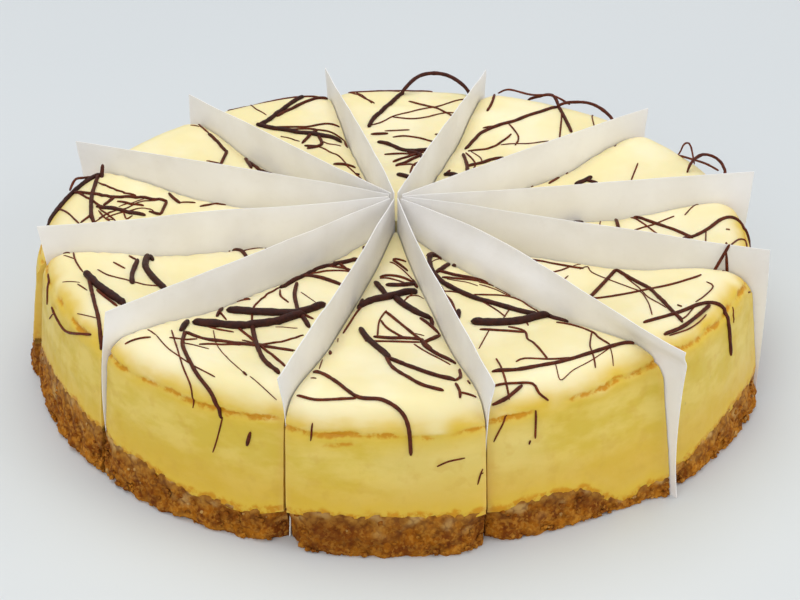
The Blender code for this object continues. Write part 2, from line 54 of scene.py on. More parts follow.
# Pairs hold a slice's value at its start and at its end.
CUT_AZIMUTHS = (-105.5, -77.7, -48.8, -19.3, 8.0, 38.5, 73.0, 103.0, 131.0, 157.0, 190.5, 221.6)
HALF_CUT = 0.6 * MM
STANDS_OUT = ((1.7, 1.7), (-1.6, -1.6), (0.8, 1.6), (0.0, 0.0), (0.0, 0.0), (0.4, 0.4),
              (0.0, 0.0), (0.0, 0.0), (0.0, 0.0), (0.0, 1.5), (-0.6, -0.6), (-0.8, -0.8))
FLARES = ((0.0, 0.0), (0.0, 0.0, 0.0, 0.4, 2.8), (0.0, 1.5), (0.6, 0.3), (0.2, 0.0), (0.0, 0.0),
          (0.0, 0.0), (0.0, 0.0), (0.0, 0.0), (0.0, 2.1), (1.3, 0.2), (1.0, 1.2))
SIDE_FALLS = ((0.8, 0.8), (0.8, -2.2), (0.8, 0.0), (0.9, 0.9), (0.9, 0.9), (0.9, 0.9),
              (0.9, 0.9), (0.9, 0.9), (0.9, 0.9), (0.9, 0.3), (0.4, 0.2), (1.3, 0.6))
CHIPS = ((5.0, 3.0), (2.5, 0.0), (0.5, 1.0), (2.0, 1.5), (1.5, 2.0), (2.5, 1.5),
         (2.0, 2.5), (1.5, 2.0), (2.5, 2.0), (1.5, 1.0), (1.0, 0.3), (0.3, 4.5))
RIM_LIFTS = (0.0, 0.5, 0.9, -0.3, 0.8, 1.1, 0.4, 0.9, 0.7, -0.2, 0.4, -0.4)
# Where the dip of the top is reached, its rise to the rim begins and its swell is full
DIP_RADIUS = 40.0 * MM
RISE_RADIUS = 70.0 * MM
FULL_RADIUS = 30.0 * MM
EDGE_FALL = 2.6 * MM
EDGE_WIDTH = 7.0 * MM
# Angles on the rounded rim, in degrees above the level
SHOULDER_ANGLE = 8.0
CRACK_ANGLE = 27.0
CRACK_WANDER = 9.0
CRACK_WAVES = 9.0
CRACK_OFFSETS = ((-24.0, -24.0), (-26.0, 0.0), (8.0, 8.0), (6.0, 6.0), (3.0, 3.0), (0.0, 0.0),
                 (2.0, 2.0), (-2.0, -2.0), (0.0, 0.0), (3.0, 3.0), (8.0, 2.0), (-6.0, -19.0))
SWELL = 0.5 * MM
SWELL_SIZE = 24.0 * MM
CRAG = 1.7 * MM
CRAG_SIZE = 4.5 * MM
CHIP_WIDTH = 4.0 * MM
FOOT_INSET = 0.7 * MM
CRUST_LINES = {1: (12.5, 13.5, 13.2, 14.0, 12.5),
               2: (11.0, 12.3, 11.4, 3.2, 6.0),
               3: (5.0, 9.0, 11.5, 12.6, 12.6),
               11: (15.5, 16.8, 17.2, 17.2, 16.0),
               12: (15.8, 13.0, 11.0, 9.2, 12.5)}
LINE_FROM = 104.0 * MM
LINE_TO = 117.0 * MM
LINE_WANDER = 1.6 * MM
LINE_SIZE = 11.0 * MM
JOINT_GAP = 0.34 * MM
PAPER_THICKNESS = 0.3 * MM
PAPER_TOP = 54.4 * MM
PAPER_FOOT = 0.4 * MM
PAPER_INNER = 2.5 * MM
PAPER_REACH = ((117.5, 113, 115), (119.5, 114, 112), (125.3, 122.5, 124.2), (121, 121.5, 121),
               (121, 119, 117), (116, 115.5, 115), (117, 116.5, 116), (117, 116.5, 116),
               (117, 116, 115), (121, 118.5, 116), (115, 112, 111), (111.5, 115.8, 114.5))
PAPER_BOW = (0.5, -0.7, 3.2, 0.5, -0.5, 0.6, 0.5, -0.6, 0.5, -0.7, 0.5, 0.6)
PAPER_SINKS = (0.0, 0.0, 3.0, 0.0, 0.0, 0.0, 0.0, 0.0, 0.0, 0.0, 0.0, 1.0)
PAPER_DIP = 0.8 * MM
BOW_FROM = 44.0 * MM
BOW_OVER = 10.0 * MM
# Share of its thickness that a strand's centre line lies above the skin
SIT = 0.18
STRAND_CLEARANCE = 0.2 * MM
PROBE_START = 10.0 * MM
PROBE_LENGTH = 25.0 * MM

# Steps of the surfaces, finer than those of the solids
COLUMN_STEP = 0.85 * MM
SIDE_STEP = 0.85 * MM
RIM_STEPS = 30
TOP_STEP = 1.5 * MM
CRUST_STEP = 0.6 * MM
STRAND_STEP = 1.1 * MM
PAPER_COLUMNS = 64
PAPER_ROWS = 30
SHARP_ANGLE = 50.0
# Radii of the points between cream and crust
JOINT_RADII = (TIP_RADIUS, 60 * MM, 104 * MM, 112 * MM)

# Thick drizzle, slice by slice, in millimetres: thickness, height of its arch, then the
# points (x, y) that the strand passes over. A point's distance from the axis is measured
# along the top, over the rim and down the side.
DRIZZLE = {
    1: ((2.6, 0, -14, -51.5, -8, -48, -2, -46, 6, -41.5),
        (2.2, 0, -0.5, -46.5, 3, -52, 6.5, -56, 10, -57),
        (1.8, 0, -6.5, -35, -5, -39.5, -3, -45),
        (1.6, 0, -3, -38.5, 2, -38.5, 5.5, -35.5),
        (1.2, 0, 7, -58.5, 11, -63, 13.5, -67, 15, -73, 16, -83),
        (1.2, 0, -6.5, -69.5, -2, -70.5, 3, -70.5, 7.5, -71.5),
        (1.4, 0, 7.5, -71.5, 8, -75, 12, -81.5, 16.5, -85),
        (1.3, 0, 7.5, -74, 10.5, -70, 13, -65),
        (2.0, 0, -10.5, -65, -8.5, -70.5, -4, -79, -2, -84),
        (1.5, 0, -2, -84, 3, -89.5, 7.5, -94.5, 12, -98.5, 16, -100.5),
        (1.2, 0, -3, -82.5, -1, -91, 3, -98, 7, -103, 12.5, -106),
        (1.4, 0, 10.2, -56, 10.6, -61),
        (1.2, 0, -23, -91.5, -17, -100, -11, -108, -4, -109.5, 1, -113, 3.2, -117.5, 4, -125.5)),
    2: ((1.8, 0, 14, -18.5, 11, -20, 11, -28, 13, -35, 16, -40, 21, -45.5, 28, -51, 43, -59),
        (1.7, 0, 18.5, -22, 18.5, -26),
        (1.6, 0, 17, -25, 14.5, -30, 12.5, -32),
        (1.2, 0, 14, -31.5, 20, -34, 29.5, -35.3),
        (1.8, 0, 19, -56, 18.5, -60.5),
        (3.0, 0, 23, -63, 30, -64, 37, -63.5, 42, -61, 46, -59),
        (1.7, 0, 45.5, -58, 48, -61, 51.5, -63),
        (1.3, 0, 27, -99.5, 34, -99, 41, -96.5, 48, -94, 60, -87.5, 69, -82.5),
        (1.2, 0, 27, -112, 31, -109.5, 35, -105.5)),
    3: ((1.3, 0, 68, -30, 63, -39, 58, -48),
        (1.3, 0, 68, -30, 72, -38, 76, -47, 78, -55, 80.5, -65, 82.5, -71),
        (1.3, 0, 71.5, -71, 82, -66, 88, -61.5, 93, -59, 97, -59.5, 101, -63, 110, -67.5),
        (1.3, 0, 76.5, -78, 82, -73.5, 87, -67.5, 92, -60.5)),
    4: ((1.7, 0, 57, 5, 62, 7, 67, 8.2, 76, 8, 80, 6.5),
        (1.3, 0, 73, 7.5, 73, -1.5),
        (1.2, 0, 79, 6.5, 86, -1.5, 95, -14.5),
        (1.3, 0, 92, -14, 96, -13.5, 101, -9, 106, -3, 111, 0, 116, -2, 121, -5, 126, -9)),
    5: ((1.8, 0, 62, 33.5, 68, 38),
        (1.5, 0, 66, 36.5, 69.5, 33.5),
        (1.2, 6.5, 100, 31.5, 104, 37, 108, 36, 110, 31, 111, 25)),
    6: ((1.4, 0, 25, 64, 31, 75, 38, 79, 50, 83.5, 60, 89),
        (1.3, 4.0, 59.5, 88.5, 66, 90, 72, 86, 80, 78),
        (1.3, 3.5, 50, 100, 54, 99, 58, 95, 60.5, 89),
        (1.4, 0, 60.5, 89, 61.5, 82, 63.5, 69),
        (1.4, 0, 24, 59, 25, 51, 25, 43.5),
        (1.4, 0, 25, 48.5, 30, 51.5, 37, 56),
        (2.0, 0, 17, 43.5, 22, 40.5)),
    7: ((1.9, 0, 0.5, 42.5, 5, 39.5),
        (1.1, 0, -1, 53.5, 3, 56.5, 10, 61.5),
        (1.3, 0, 0, 49.5, 5, 54.5, 9, 58.5),
        (1.7, 0, -6.5, 70.5, -2, 68, 2, 64, 5, 62.5, 14, 63.5),
        (1.6, 0, 4, 62, 8, 59.5, 10, 55.5),
        (1.2, 0, -9, 77, -3, 77.5),
        (1.8, 0, -10, 81.5, -8, 88, -4, 94, 0, 101, 3, 106),
        (1.6, 7.0, 2, 104, 10, 110, 19, 109, 29, 104)),
    8: ((1.2, 0, -22, 51, -14.5, 51.5),
        (1.3, 0, -32, 65.5, -27, 68.5, -29, 76.5),
        (1.3, 0, -34, 68.5, -31, 75.5, -29, 78.5),
        (1.9, 0, -51, 79, -48, 77.5, -38, 76.5, -26, 74.5, -20, 72.5),
        (1.9, 0, -50, 78, -45, 85.5, -38, 97.5, -35, 102),
        (1.4, 0, -44, 85.5, -35, 95.5, -26, 103.5)),
    9: ((1.4, 0, -54, 58.5, -53, 55, -51, 48.5),
        (1.4, 0, -53, 55.5, -46, 45.5, -43, 48.5),
        (1.3, 0, -62, 50.5, -61, 56.5, -60.5, 60),
        (1.4, 0, -60.5, 59, -66, 67.5, -68, 70.5)),
    10: ((1.5, 0, -98, -1, -100, 5.5, -102, 19.5, -102.5, 34),
         (1.6, 0, -83, 8.5, -94, 10, -99, 10.5),
         (1.3, 0, -77.5, 21, -88, 20.5, -94, 18.5, -105, 20.5, -109, 23.5),
         (1.2, 0, -77.5, 20.5, -78, 15, -78.5, 11.5, -82, 11.5),
         (1.2, 0, -94.5, 18, -97, 12.5),
         (2.0, 0, -102, 35, -106, 31, -109, 25, -112.5, 14, -117, 5)),
    11: ((2.3, 0, -79.5, -20, -79, -29, -75, -38, -71, -44),
         (1.7, 0, -82, -25, -82.3, -35, -81.3, -42.5),
         (2.7, 0, -96, -39, -91, -47, -81.5, -58.5),
         (1.3, 0, -94.5, -42.5, -92.5, -50, -90.5, -57.5, -88.5, -64.5, -87.5, -70, -88, -74.5,
          -90, -78.5, -93.5, -81.5, -98, -84.5, -103, -88),
         (1.4, 0, -53, -12, -50, -15, -47.5, -20.5)),
    12: ((2.8, 0, -51, -55, -42, -56.3, -30, -56.8, -22, -51.5),
         (3.0, 0, -60, -66, -50, -66, -40, -64, -28, -57.5),
         (1.6, 0, -29, -57, -26, -65),
         (1.4, 0, -31, -37.5, -31.3, -45.5, -29.5, -57),
         (1.7, 0, -12, -22.5, -19, -25, -25, -27, -29, -32, -36, -40.5),
         (1.4, 0, -30, -32, -24, -33.5, -17, -38.5),
         (2.0, 0, -62, -65, -63.3, -72),
         (1.2, 0, -62, -72.5, -57, -76, -48, -78, -30, -81.5),
         (1.3, 0, -62, -72.5, -61.5, -82.5, -57, -94.5, -52, -103.5, -51.5, -110),
         (1.5, 0, -43, -64.5, -41, -76.5, -38, -88.5, -33, -97.5)),
}

# Fine strands: thickness, then the points (x, y) passed over, in millimetres as above
FINE_STRANDS = {
    1: ((1.1, -5, -32, 0, -33, 5, -34.5), (1.1, -1, -22.5, 3.5, -27.5), (0.6, -2, -23, 2, -28, 6, -34),
        (1.0, -1, -21.5, 3, -21), (1.0, 3, -15, 3.5, -20), (0.7, -5, -33, -1, -35, 3, -37),
        (1.5, 5, -33, 6.3, -37), (0.5, 3, -46, 7, -43, 9, -44), (0.6, 5, -43, 2, -49),
        (0.7, -3, -54, -5, -60, -5.5, -69), (1.1, -3, -55, 0, -60, 3, -65, 6, -70, 10, -77),
        (0.9, -4.5, -60, -3, -64, 0, -68, 3, -71), (0.8, -9, -72, 0, -72.5, 7, -73),
        (0.5, 5, -67.5, 8, -69), (0.6, 5, -74, 9, -80, 15, -88), (1.1, 17.5, -90, 17.5, -97, 16, -100.5),
        (1.1, 16, -102.5, 17, -106, 17, -108.5), (0.9, 17, -106.5, 21.5, -106.5), (1.1, 19.5, -98, 20, -99.5),
        (1.0, -27, -105.5, -22, -108.5, -11, -108.8), (0.6, -23.5, -96.5, -22, -98),
        (1.2, -19, -76, -18.8, -79), (0.5, -21, -81, -21.5, -90), (1.7, -10.2, -44.5, -11.2, -51),
        (0.9, -8.5, -47, -11.5, -52, -14, -60, -15.5, -65),
        (0.7, -23, -115, -24.5, -120), (0.5, -17, -67, -17, -70),
        (0.6, 12, -129, 15.5, -127.2, 20, -126), (0.6, 27, -127.5, 26, -130.5, 25.5, -134),
        (0.5, 26, -131, 27.5, -130)),
    2: ((1.3, 10, -20, 12, -17, 14.5, -20), (0.5, 14, -20, 11, -25), (1.0, 14.5, -35, 26, -36.8),
        (0.9, 26, -37.5, 30.5, -37.5), (0.5, 31, -38, 35.5, -44), (0.4, 16, -36, 22, -38, 25.5, -40.5),
        (0.5, 26, -39.5, 31, -42, 36, -46.5), (0.7, 24, -46, 30, -46.5, 38, -47, 40.5, -51, 44, -56),
        (0.5, 40, -46, 40.5, -50), (0.6, 13, -40, 15, -43, 22, -46, 30, -55, 33, -59.5),
        (1.0, 14, -40, 15, -45, 17, -50, 18, -57), (0.6, 34.5, -55, 32.5, -60), (0.8, 39, -63, 39.5, -66),
        (1.0, 25, -67.5, 31, -69, 38, -71), (0.8, 33.5, -66.5, 38, -70, 38.5, -77, 40, -81, 43, -92),
        (0.5, 28, -67, 26, -74, 24, -82), (0.8, 48, -65, 52, -68, 57.5, -75, 59, -80, 61.5, -85),
        (0.5, 52, -66, 52.5, -69), (0.6, 57.5, -75, 56, -84, 56, -88, 56.5, -96),
        (0.7, 34, -94, 36.5, -92, 44, -92.5, 50, -92),
        (0.7, 28.5, -91, 29.5, -97, 30.5, -105, 31.5, -110),
        (0.9, 27, -106, 33, -105, 38, -104.5, 40, -107, 43, -108.5),
        (0.4, 45, -95, 46, -102, 50, -98, 56, -93, 61.5, -87), (0.4, 61.5, -87, 62, -94),
        (0.8, 40, -112, 42.5, -120), (1.0, 41, -121, 41, -122), (0.6, 31.5, -114.5, 29.5, -123)),
    3: ((0.9, 34, -19, 40, -21.5, 47, -24, 54, -27.5, 58, -28.5), (1.0, 34, -20, 38, -19),
        (0.7, 54, -27.5, 51, -30, 46, -32), (0.5, 57.5, -24.5, 55, -27),
        (0.5, 57, -29, 59.5, -27, 60.5, -31, 66, -37, 71, -44, 73.5, -49, 74.5, -57, 74.5, -66),
        (0.5, 53, -33.5, 50, -38.5), (0.5, 70, -35, 73, -44, 75, -53, 79, -62),
        (0.9, 58, -48, 66, -48, 76, -47.5, 84, -46.5, 90, -44, 92, -42.5),
        (0.6, 78, -78, 84, -73.5, 88, -69, 90.5, -65), (0.6, 82, -70, 84, -68, 86, -64.5, 88, -61),
        (0.6, 93, -47, 94.5, -50, 91, -56, 88, -59.5), (0.5, 99, -39, 102.5, -33),
        (0.6, 101, -56, 103.5, -60), (1.0, 82.5, -61, 83.5, -62),
        (0.7, 109.5, -43.5, 115, -38.5, 113.5, -45)),
    4: ((1.2, 42, 6.5, 48, 8), (0.8, 48, 6, 58, 5.5), (1.2, 61, 7, 60.5, 3),
        (0.5, 61, 7, 65, 15, 66.5, 14.5), (0.5, 68, 7, 67, 1), (0.7, 78, 7, 82, -1, 85.5, -10),
        (0.7, 77, -3.5, 84, -1, 91.5, 2.5), (0.6, 95, 2.5, 102, 14), (0.6, 98.5, -18.5, 100, -10),
        (0.7, 106, -21, 110, -15, 113, -13, 113, -17), (1.0, 106.5, -10, 107.5, -10)),
    5: ((1.1, 53, 34.5, 57, 40.5), (0.7, 51.5, 39, 53, 44), (1.0, 60, 45, 60.5, 46),
        (1.0, 47, 34.5, 47.5, 35.5), (1.0, 38, 29.5, 43, 30.5), (0.7, 81, 32, 84.5, 42.5),
        (0.6, 78, 57, 79, 60)),
    6: ((0.8, 61, 90, 61, 82, 59, 66), (0.8, 41.5, 79.5, 44.5, 71, 43, 65),
        (1.0, 26, 61.5, 33, 64, 38, 68, 42, 73), (0.6, 38, 66.5, 46, 66, 55, 65.5),
        (0.8, 25, 60, 28, 52, 27, 45), (0.6, 27, 61, 30, 56, 30.5, 53), (1.8, 37, 56, 39, 54.5),
        (1.2, 19, 46, 17, 43), (0.6, 72, 72, 72, 80, 73.5, 87), (0.8, 32, 78.5, 36, 79),
        (1.2, 34, 89, 36.5, 97, 37.5, 104)),
    7: ((0.9, 5, 44, 6, 50, 8, 53), (0.9, 0, 50, 5, 51, 7.5, 49.5), (1.0, -4, 59.5, 2, 60, 7, 59.5),
        (0.9, -1, 74.5, 3, 75.5, 8, 73.5, 15, 69.5), (0.7, -4, 79, 5, 79.5), (1.2, 14.5, 76, 15.5, 76),
        (0.7, -9, 83, -5, 85, -1, 89, 6, 92, 14, 94.5, 20, 97, 25, 100, 28, 102),
        (0.7, -1, 88.5, 6, 87, 12, 88, 18, 90, 24, 90), (0.9, 5, 99, 10, 96.5, 15, 94, 19, 90, 23, 86),
        (0.6, -9, 98, -12, 103, -15, 107),
        (0.9, -18, 108, -8, 110, 2.5, 110.5, 14, 108), (0.8, -18, 108, -8, 98),
        (0.7, -5, 111, 1.5, 108)),
    8: ((0.7, -9, 36, -13, 43, -17, 50, -19, 56, -22, 60, -24, 63, -28, 67), (1.5, -14, 45, -12, 46),
        (1.0, -48, 77, -40, 79, -33, 80, -28, 82, -21, 84), (0.9, -40, 77, -30, 79, -19, 75.5, -17, 70),
        (0.6, -42, 73, -35, 70), (0.6, -27, 71, -24, 69, -20, 68.5), (1.0, -19, 77, -18, 71, -16, 66),
        (1.3, -33, 67, -28, 67), (0.6, -48, 86, -53, 92, -55, 98),
        (1.2, -63, 93, -57, 98, -46, 105, -35, 109), (1.0, -60, 98, -42, 102.5, -28, 101.5)),
    9: ((1.7, -42, 43.5, -40, 42.5), (0.7, -67, 51.5, -62, 51), (0.9, -68, 71, -71, 76, -74, 84),
        (0.6, -75, 76, -72, 76.5)),
    10: ((0.9, -102, -2, -99.5, 5.5), (0.9, -91, 22, -98, 26, -101.5, 29), (1.1, -93, 15.5, -84.5, 15.5),
         (0.5, -85, 20, -90, 15, -92, 12), (0.7, -90, 9, -88.5, 5, -87, 7.5),
         (0.6, -98, 8, -95, 3, -92.5, 2.5), (0.6, -94, 8, -97, 3), (1.4, -77.5, 26.5, -75, 22.5, -73, 20),
         (0.8, -73, 20.5, -68, 21), (1.0, -66, 18, -58, 22), (0.8, -102.5, -2.5, -106, 3, -110, 9, -113, 14),
         (1.2, -114, 15, -112.5, 21, -110, 25), (1.0, -107.5, 22, -104.5, 18, -101, 14.5, -97.5, 10.5),
         (0.6, -98, -0.5, -95.5, 5, -93, 8.5, -90, 11.5, -87, 16.5, -83.5, 19.5, -79.5, 21),
         (0.8, -98, 9.5, -95, 6, -91.5, 2), (0.7, -97.5, 7.5, -95, 3, -93, 1), (0.9, -92, 22, -88, 22),
         (0.6, -95, 3, -90.5, 8.5, -85, 13.5, -82, 13.5, -80, 11.5)),
    11: ((2.0, -79, -19.5, -77.5, -23), (0.6, -80.5, -14, -78, -20), (0.9, -85, -22.5, -82, -25),
         (0.8, -89, -29, -85, -32), (0.6, -93, -35, -88, -39, -81, -41, -73, -42),
         (1.0, -91, -49.5, -87, -55, -83.5, -59.5), (0.8, -106.5, -21.5, -103.5, -24),
         (0.7, -102.5, -23, -101, -29, -99, -34, -97, -38), (0.5, -105, -26, -101, -29),
         (0.4, -103, -42, -97, -44.5), (0.6, -97.5, -45.5, -94, -49.5),
         (0.6, -50, -14, -46, -12, -43.5, -10), (1.0, -54, -13, -54, -14), (0.5, -42.5, -12, -41.5, -14),
         (1.0, -110, -47, -107, -56, -102, -63, -91, -70.5),
         (0.9, -110.5, -32, -110, -36, -111.5, -41, -114, -42), (0.6, -111, -49, -116.5, -46),
         (0.4, -96, -60, -88, -66), (0.5, -88, -72, -86, -74)),
    12: ((1.0, -20, -22.5, -14.8, -29.5), (0.9, -22, -26, -18, -27, -14, -29), (1.5, -53, -52, -54, -59),
         (0.8, -53.5, -56, -51, -61), (0.8, -36, -40, -40, -45, -43.5, -53, -43, -64),
         (0.8, -29, -31, -24, -30, -19, -29.5, -14.5, -30), (0.8, -36, -42, -35.5, -46, -33, -50),
         (0.4, -29.5, -43, -26, -48, -24.5, -50), (0.9, -48.5, -41, -47, -44, -45, -47),
         (0.8, -51, -44.5, -48, -46, -45, -47), (0.7, -45, -76, -38, -79, -29.5, -81),
         (0.7, -66, -77, -62, -78, -58, -77), (0.8, -27.5, -70, -32, -74, -37, -77, -45, -79, -57, -80.5),
         (0.6, -66, -72, -64, -80, -61, -91, -58.5, -99, -59, -103, -60, -105),
         (0.5, -70, -76, -66, -83, -61, -89, -57, -93, -51, -98), (0.6, -51, -110, -56, -116, -59, -119),
         (1.3, -43.5, -116, -46, -119.5), (0.4, -54, -70, -52, -80, -49, -87, -45, -94, -43, -97),
         (1.0, -43, -97, -42, -98.5), (0.4, -41, -99, -37, -104, -33.5, -108),
         (1.0, -47, -66.5, -40, -78.5, -31.5, -92.5), (0.7, -56, -67.5, -52, -69, -48, -70.5),
         (0.5, -62, -80, -57, -82, -54, -83), (0.4, -36, -65, -29.5, -65), (1.8, -10.5, -14, -9.5, -18),
         (1.0, -28, -57, -25, -60), (0.8, -79, -78.5, -71.5, -77), (0.6, -73, -72, -70, -76)),
}

# Strands that stand free of the top: thickness, then world points (x, y, z) in millimetres
FREE_STRANDS = {
    3: ((1.0, 102.5, -36.3, 44.0, 101.5, -35.5, 54.6), (1.0, 97, -38.5, 44.2, 102.3, -36.4, 54.3),
        (1.1, 92.5, -42.5, 44.4, 94.5, -36.0, 44.9)),
    5: ((0.7, 89, 34, 44, 95, 43, 44.4, 100, 50, 46.3, 101, 49, 49.8, 102, 47, 51.7, 103, 45, 51.2,
         104, 41, 46.3),
        (0.8, 93, 51, 44.6, 99, 49.5, 45.8, 104, 41, 47.8, 107, 34, 49.4, 109.5, 26, 50.7)),
    6: ((0.8, 39, 105, 47.2, 43, 103, 49.5, 51, 100, 48.6, 59, 95, 50.1, 65, 91, 48.2),),
    10: ((0.9, -110, 20, 47.8, -109, 26, 49, -107, 32, 46.9, -103.5, 38.5, 44.4),
         (1.5, -101.5, 33, 45.4, -101.2, 36.5, 49.6)),
}

Slice = namedtuple("Slice", "number start end outs flares falls chips lift crack line")


def all_slices():
    """The twelve wedges, each from its cut to the next one."""
    bounds = CUT_AZIMUTHS + (CUT_AZIMUTHS[0] + 360.0,)
    level = (CRUST_HEIGHT / MM,) * 5
    for index in range(len(CUT_AZIMUTHS)):
        yield Slice(number=index + 1,
                    start=math.radians(bounds[index]),
                    end=math.radians(bounds[index + 1]),
                    outs=in_metres(STANDS_OUT[index]),
                    flares=in_metres(FLARES[index]),
                    falls=in_metres(SIDE_FALLS[index]),
                    chips=in_metres(CHIPS[index]),
                    lift=RIM_LIFTS[index] * MM,
                    crack=CRACK_OFFSETS[index],
                    line=in_metres(CRUST_LINES.get(index + 1, level)))


def in_metres(values):
    """The same values, given in millimetres, as metres."""
    return tuple(value * MM for value in values)


def blend(values, share):
    """Value at a share of the way through evenly spaced values."""
    place = min(max(share, 0.0), 1.0) * (len(values) - 1)
    index = min(int(place), len(values) - 2)
    return values[index] + (values[index + 1] - values[index]) * (place - index)


def smooth(value):
    """Eases from 0 to 1 as value goes from 0 to 1."""
    value = min(max(value, 0.0), 1.0)
    return value * value * (3.0 - 2.0 * value)


def bell(distance, width):
    """1 at no distance, falling away over the width."""
    return math.exp(-(distance / width) ** 2)


def top_height(cake, radius):
    """Height of the cream's top, which sinks a little from the centre and rises to the rim."""
    dip = (MIDDLE_HEIGHT - CENTRE_HEIGHT) * min(radius / DIP_RADIUS, 1.0)
    rise = RIM_HEIGHT + cake.lift - MIDDLE_HEIGHT
    return CENTRE_HEIGHT + dip + rise * smooth((radius - RISE_RADIUS) / (CREST_RADIUS - RISE_RADIUS))


def shoulder(cake):
    """Radius and height where the rounded rim meets the side."""
    angle = math.radians(SHOULDER_ANGLE)
    return (CREST_RADIUS + ROUNDING * math.cos(angle),
            RIM_HEIGHT + cake.lift - ROUNDING + ROUNDING * math.sin(angle))


def side_radius(cake, height, share):
    """Radius of the side, which flares towards the foot."""
    top_radius, top = shoulder(cake)
    foot = FOOT_RADIUS + blend(cake.flares, share)
    return foot + (top_radius - foot) * height / top


def rim_point(cake, degrees):
    """Radius and height on the rounded rim, and the direction that its skin faces."""
    angle = math.radians(degrees)
    facing = (math.cos(angle), math.sin(angle))
    return (CREST_RADIUS + ROUNDING * facing[0],
            RIM_HEIGHT + cake.lift - ROUNDING + ROUNDING * facing[1]), facing


def unrolled(cake, distance, share):
    """Point and facing of the skin at a distance from the axis, measured along the skin."""
    if distance <= CREST_RADIUS:
        return (distance, top_height(cake, distance)), (0.0, 1.0)
    degrees = 90.0 - math.degrees((distance - CREST_RADIUS) / ROUNDING)
    if degrees > SHOULDER_ANGLE:
        return rim_point(cake, degrees)
    past = distance - CREST_RADIUS - ROUNDING * math.radians(90.0 - SHOULDER_ANGLE)
    height = shoulder(cake)[1] - past
    return (side_radius(cake, height, share), height), (1.0, 0.0)


def column_azimuth(cake, radius, share):
    """Azimuth of a column at a share of the way from the first cut face to the second."""
    margin = math.asin(HALF_CUT / radius)
    return cake.start + margin + (cake.end - cake.start - 2.0 * margin) * share


def from_cut(cake, radius, share):
    """Distance to the nearer cut face."""
    azimuth = column_azimuth(cake, radius, share)
    nearer = min(azimuth - cake.start, cake.end - azimuth, math.pi / 2)
    return radius * math.sin(nearer) - HALF_CUT


def near_cut(cake, radius, share):
    """1 at a cut face, easing to 0 over the width of the rounded edge."""
    return max(1.0 - from_cut(cake, radius, share) / EDGE_WIDTH, 0.0) ** 2


def edge_fall(cake, radius, share):
    """How far the top falls away where it nears a cut."""
    return EDGE_FALL * near_cut(cake, radius, share) * smooth(radius / FULL_RADIUS)


def side_fall(cake, share):
    """How far the side falls away, or stands out, where it nears a cut."""
    return cake.falls[0 if share < 0.5 else 1] * near_cut(cake, FOOT_RADIUS, share)


def reach(cake, share):
    """Scale of every radius on one column, from how far the slice stands out there."""
    return 1.0 + blend(cake.outs, share) / FOOT_RADIUS


def placed(cake, radius, height, share):
    """World point of a section point on one column."""
    radius *= reach(cake, share)
    azimuth = column_azimuth(cake, radius, share)
    return (radius * math.cos(azimuth), radius * math.sin(azimuth), height)


def crust_line(cake, radius, share):
    """Height where cream and crust meet: level inside, wandering up and down at the side."""
    azimuth = column_azimuth(cake, radius, share)
    wander = LINE_WANDER * noise.noise((azimuth * FOOT_RADIUS / LINE_SIZE, cake.number * 3.7, 0.0))
    outer = smooth((radius - LINE_FROM) / (LINE_TO - LINE_FROM))
    return CRUST_HEIGHT + (blend(cake.line, share) - CRUST_HEIGHT + wander) * outer


def chipped(cake, radius, share):
    """How deep the crust's corner is broken away beside each cut."""
    near = bell(from_cut(cake, radius, share), CHIP_WIDTH)
    return cake.chips[0 if share < 0.5 else 1] * near


# The torn line under the rim, the stain round it, the lip above it and a second tear below
TEAR_DEPTH = 0.8 * MM
TEAR_WIDTH = 0.7 * MM
TEAR_RAGGED = 0.45 * MM
STAIN_WIDTH = 1.3 * TEAR_WIDTH
LIP_HEIGHT = 0.12 * MM
LIP_PLACE = 2.0 * MM
LIP_WIDTH = 1.5 * MM
SECOND_TEAR_BELOW = 3.2 * MM
SECOND_TEAR_RAGGED = 0.5 * MM
TEAR_JITTER = 3.0
JITTER_SIZE = 4 * MM
# The golden band above the torn line
GOLD_PLACE = 1.0 * MM
GOLD_WIDTH = 4.2 * MM

# Patterns along the rim: size, step from slice to slice, seed
RAGGED_TEAR = (1.3 * MM, 2.9, 1.0)
TEAR_STRENGTH = (9 * MM, 5.3, 2.0)
SECOND_TEAR = (15 * MM, 4.1, 7.0)
RAGGED_SECOND = (1.7 * MM, 3.1, 9.0)
GOLD_PATCHES = (9 * MM, 2.3, 11.0)
HEM_TEETH = (1.7 * MM, 1.7, 21.0)

# Patterns over the side: size along it, size up it, seed
SIDE_SWELL = (7 * MM, 5 * MM, 0.0)
SIDE_GRAIN = (2.6 * MM, 1.8 * MM, 9.0)
RAGGED_HEM = (3.4 * MM, 2.6 * MM, 17.0)
RIM_RIPPLE = (8 * MM, 30.0, 4.0)
RIM_SHADE = (6 * MM, 3 * MM, 6.0)
CRUST_SMEARS = (5 * MM, 4 * MM, 30.0)

# How deep the patterns are in the skin
SWELL_DEPTH = 0.16 * MM
GRAIN_DEPTH = 0.10 * MM
HEM_DEPTH = 0.22 * MM
HEM_WIDTH = 1.6 * MM
RIPPLE_DEPTH = 0.22 * MM
TOP_GRAIN_DEPTH = 0.07 * MM
TOP_GRAIN_SIZE = 5 * MM
TOP_GRAIN_FULL = 20 * MM

# Painted shade on each slice's crust: how dark it is made, most on the slices at the front
CRUST_SHADE_BY_SLICE = (1.0, 0.9, 0.0, 0.2, 0.3, 0.3, 0.4, 0.3, 0.3, 0.2, 0.1, 0.55)

# How far the cream runs down over the crust's ragged top, and the crust up behind it
CREAM_BELOW = 1.2 * MM
CRUST_ABOVE = 0.8 * MM
CRUST_UNDER = 0.5 * MM

# Lumps and fine crumbs pressed out of the crust's side: height, size, and share that is level
CRUST_LUMPS = (0.7 * MM, 2.1 * MM, 0.42)
CRUST_GRIT = (0.5 * MM, 1.0 * MM, 0.4)


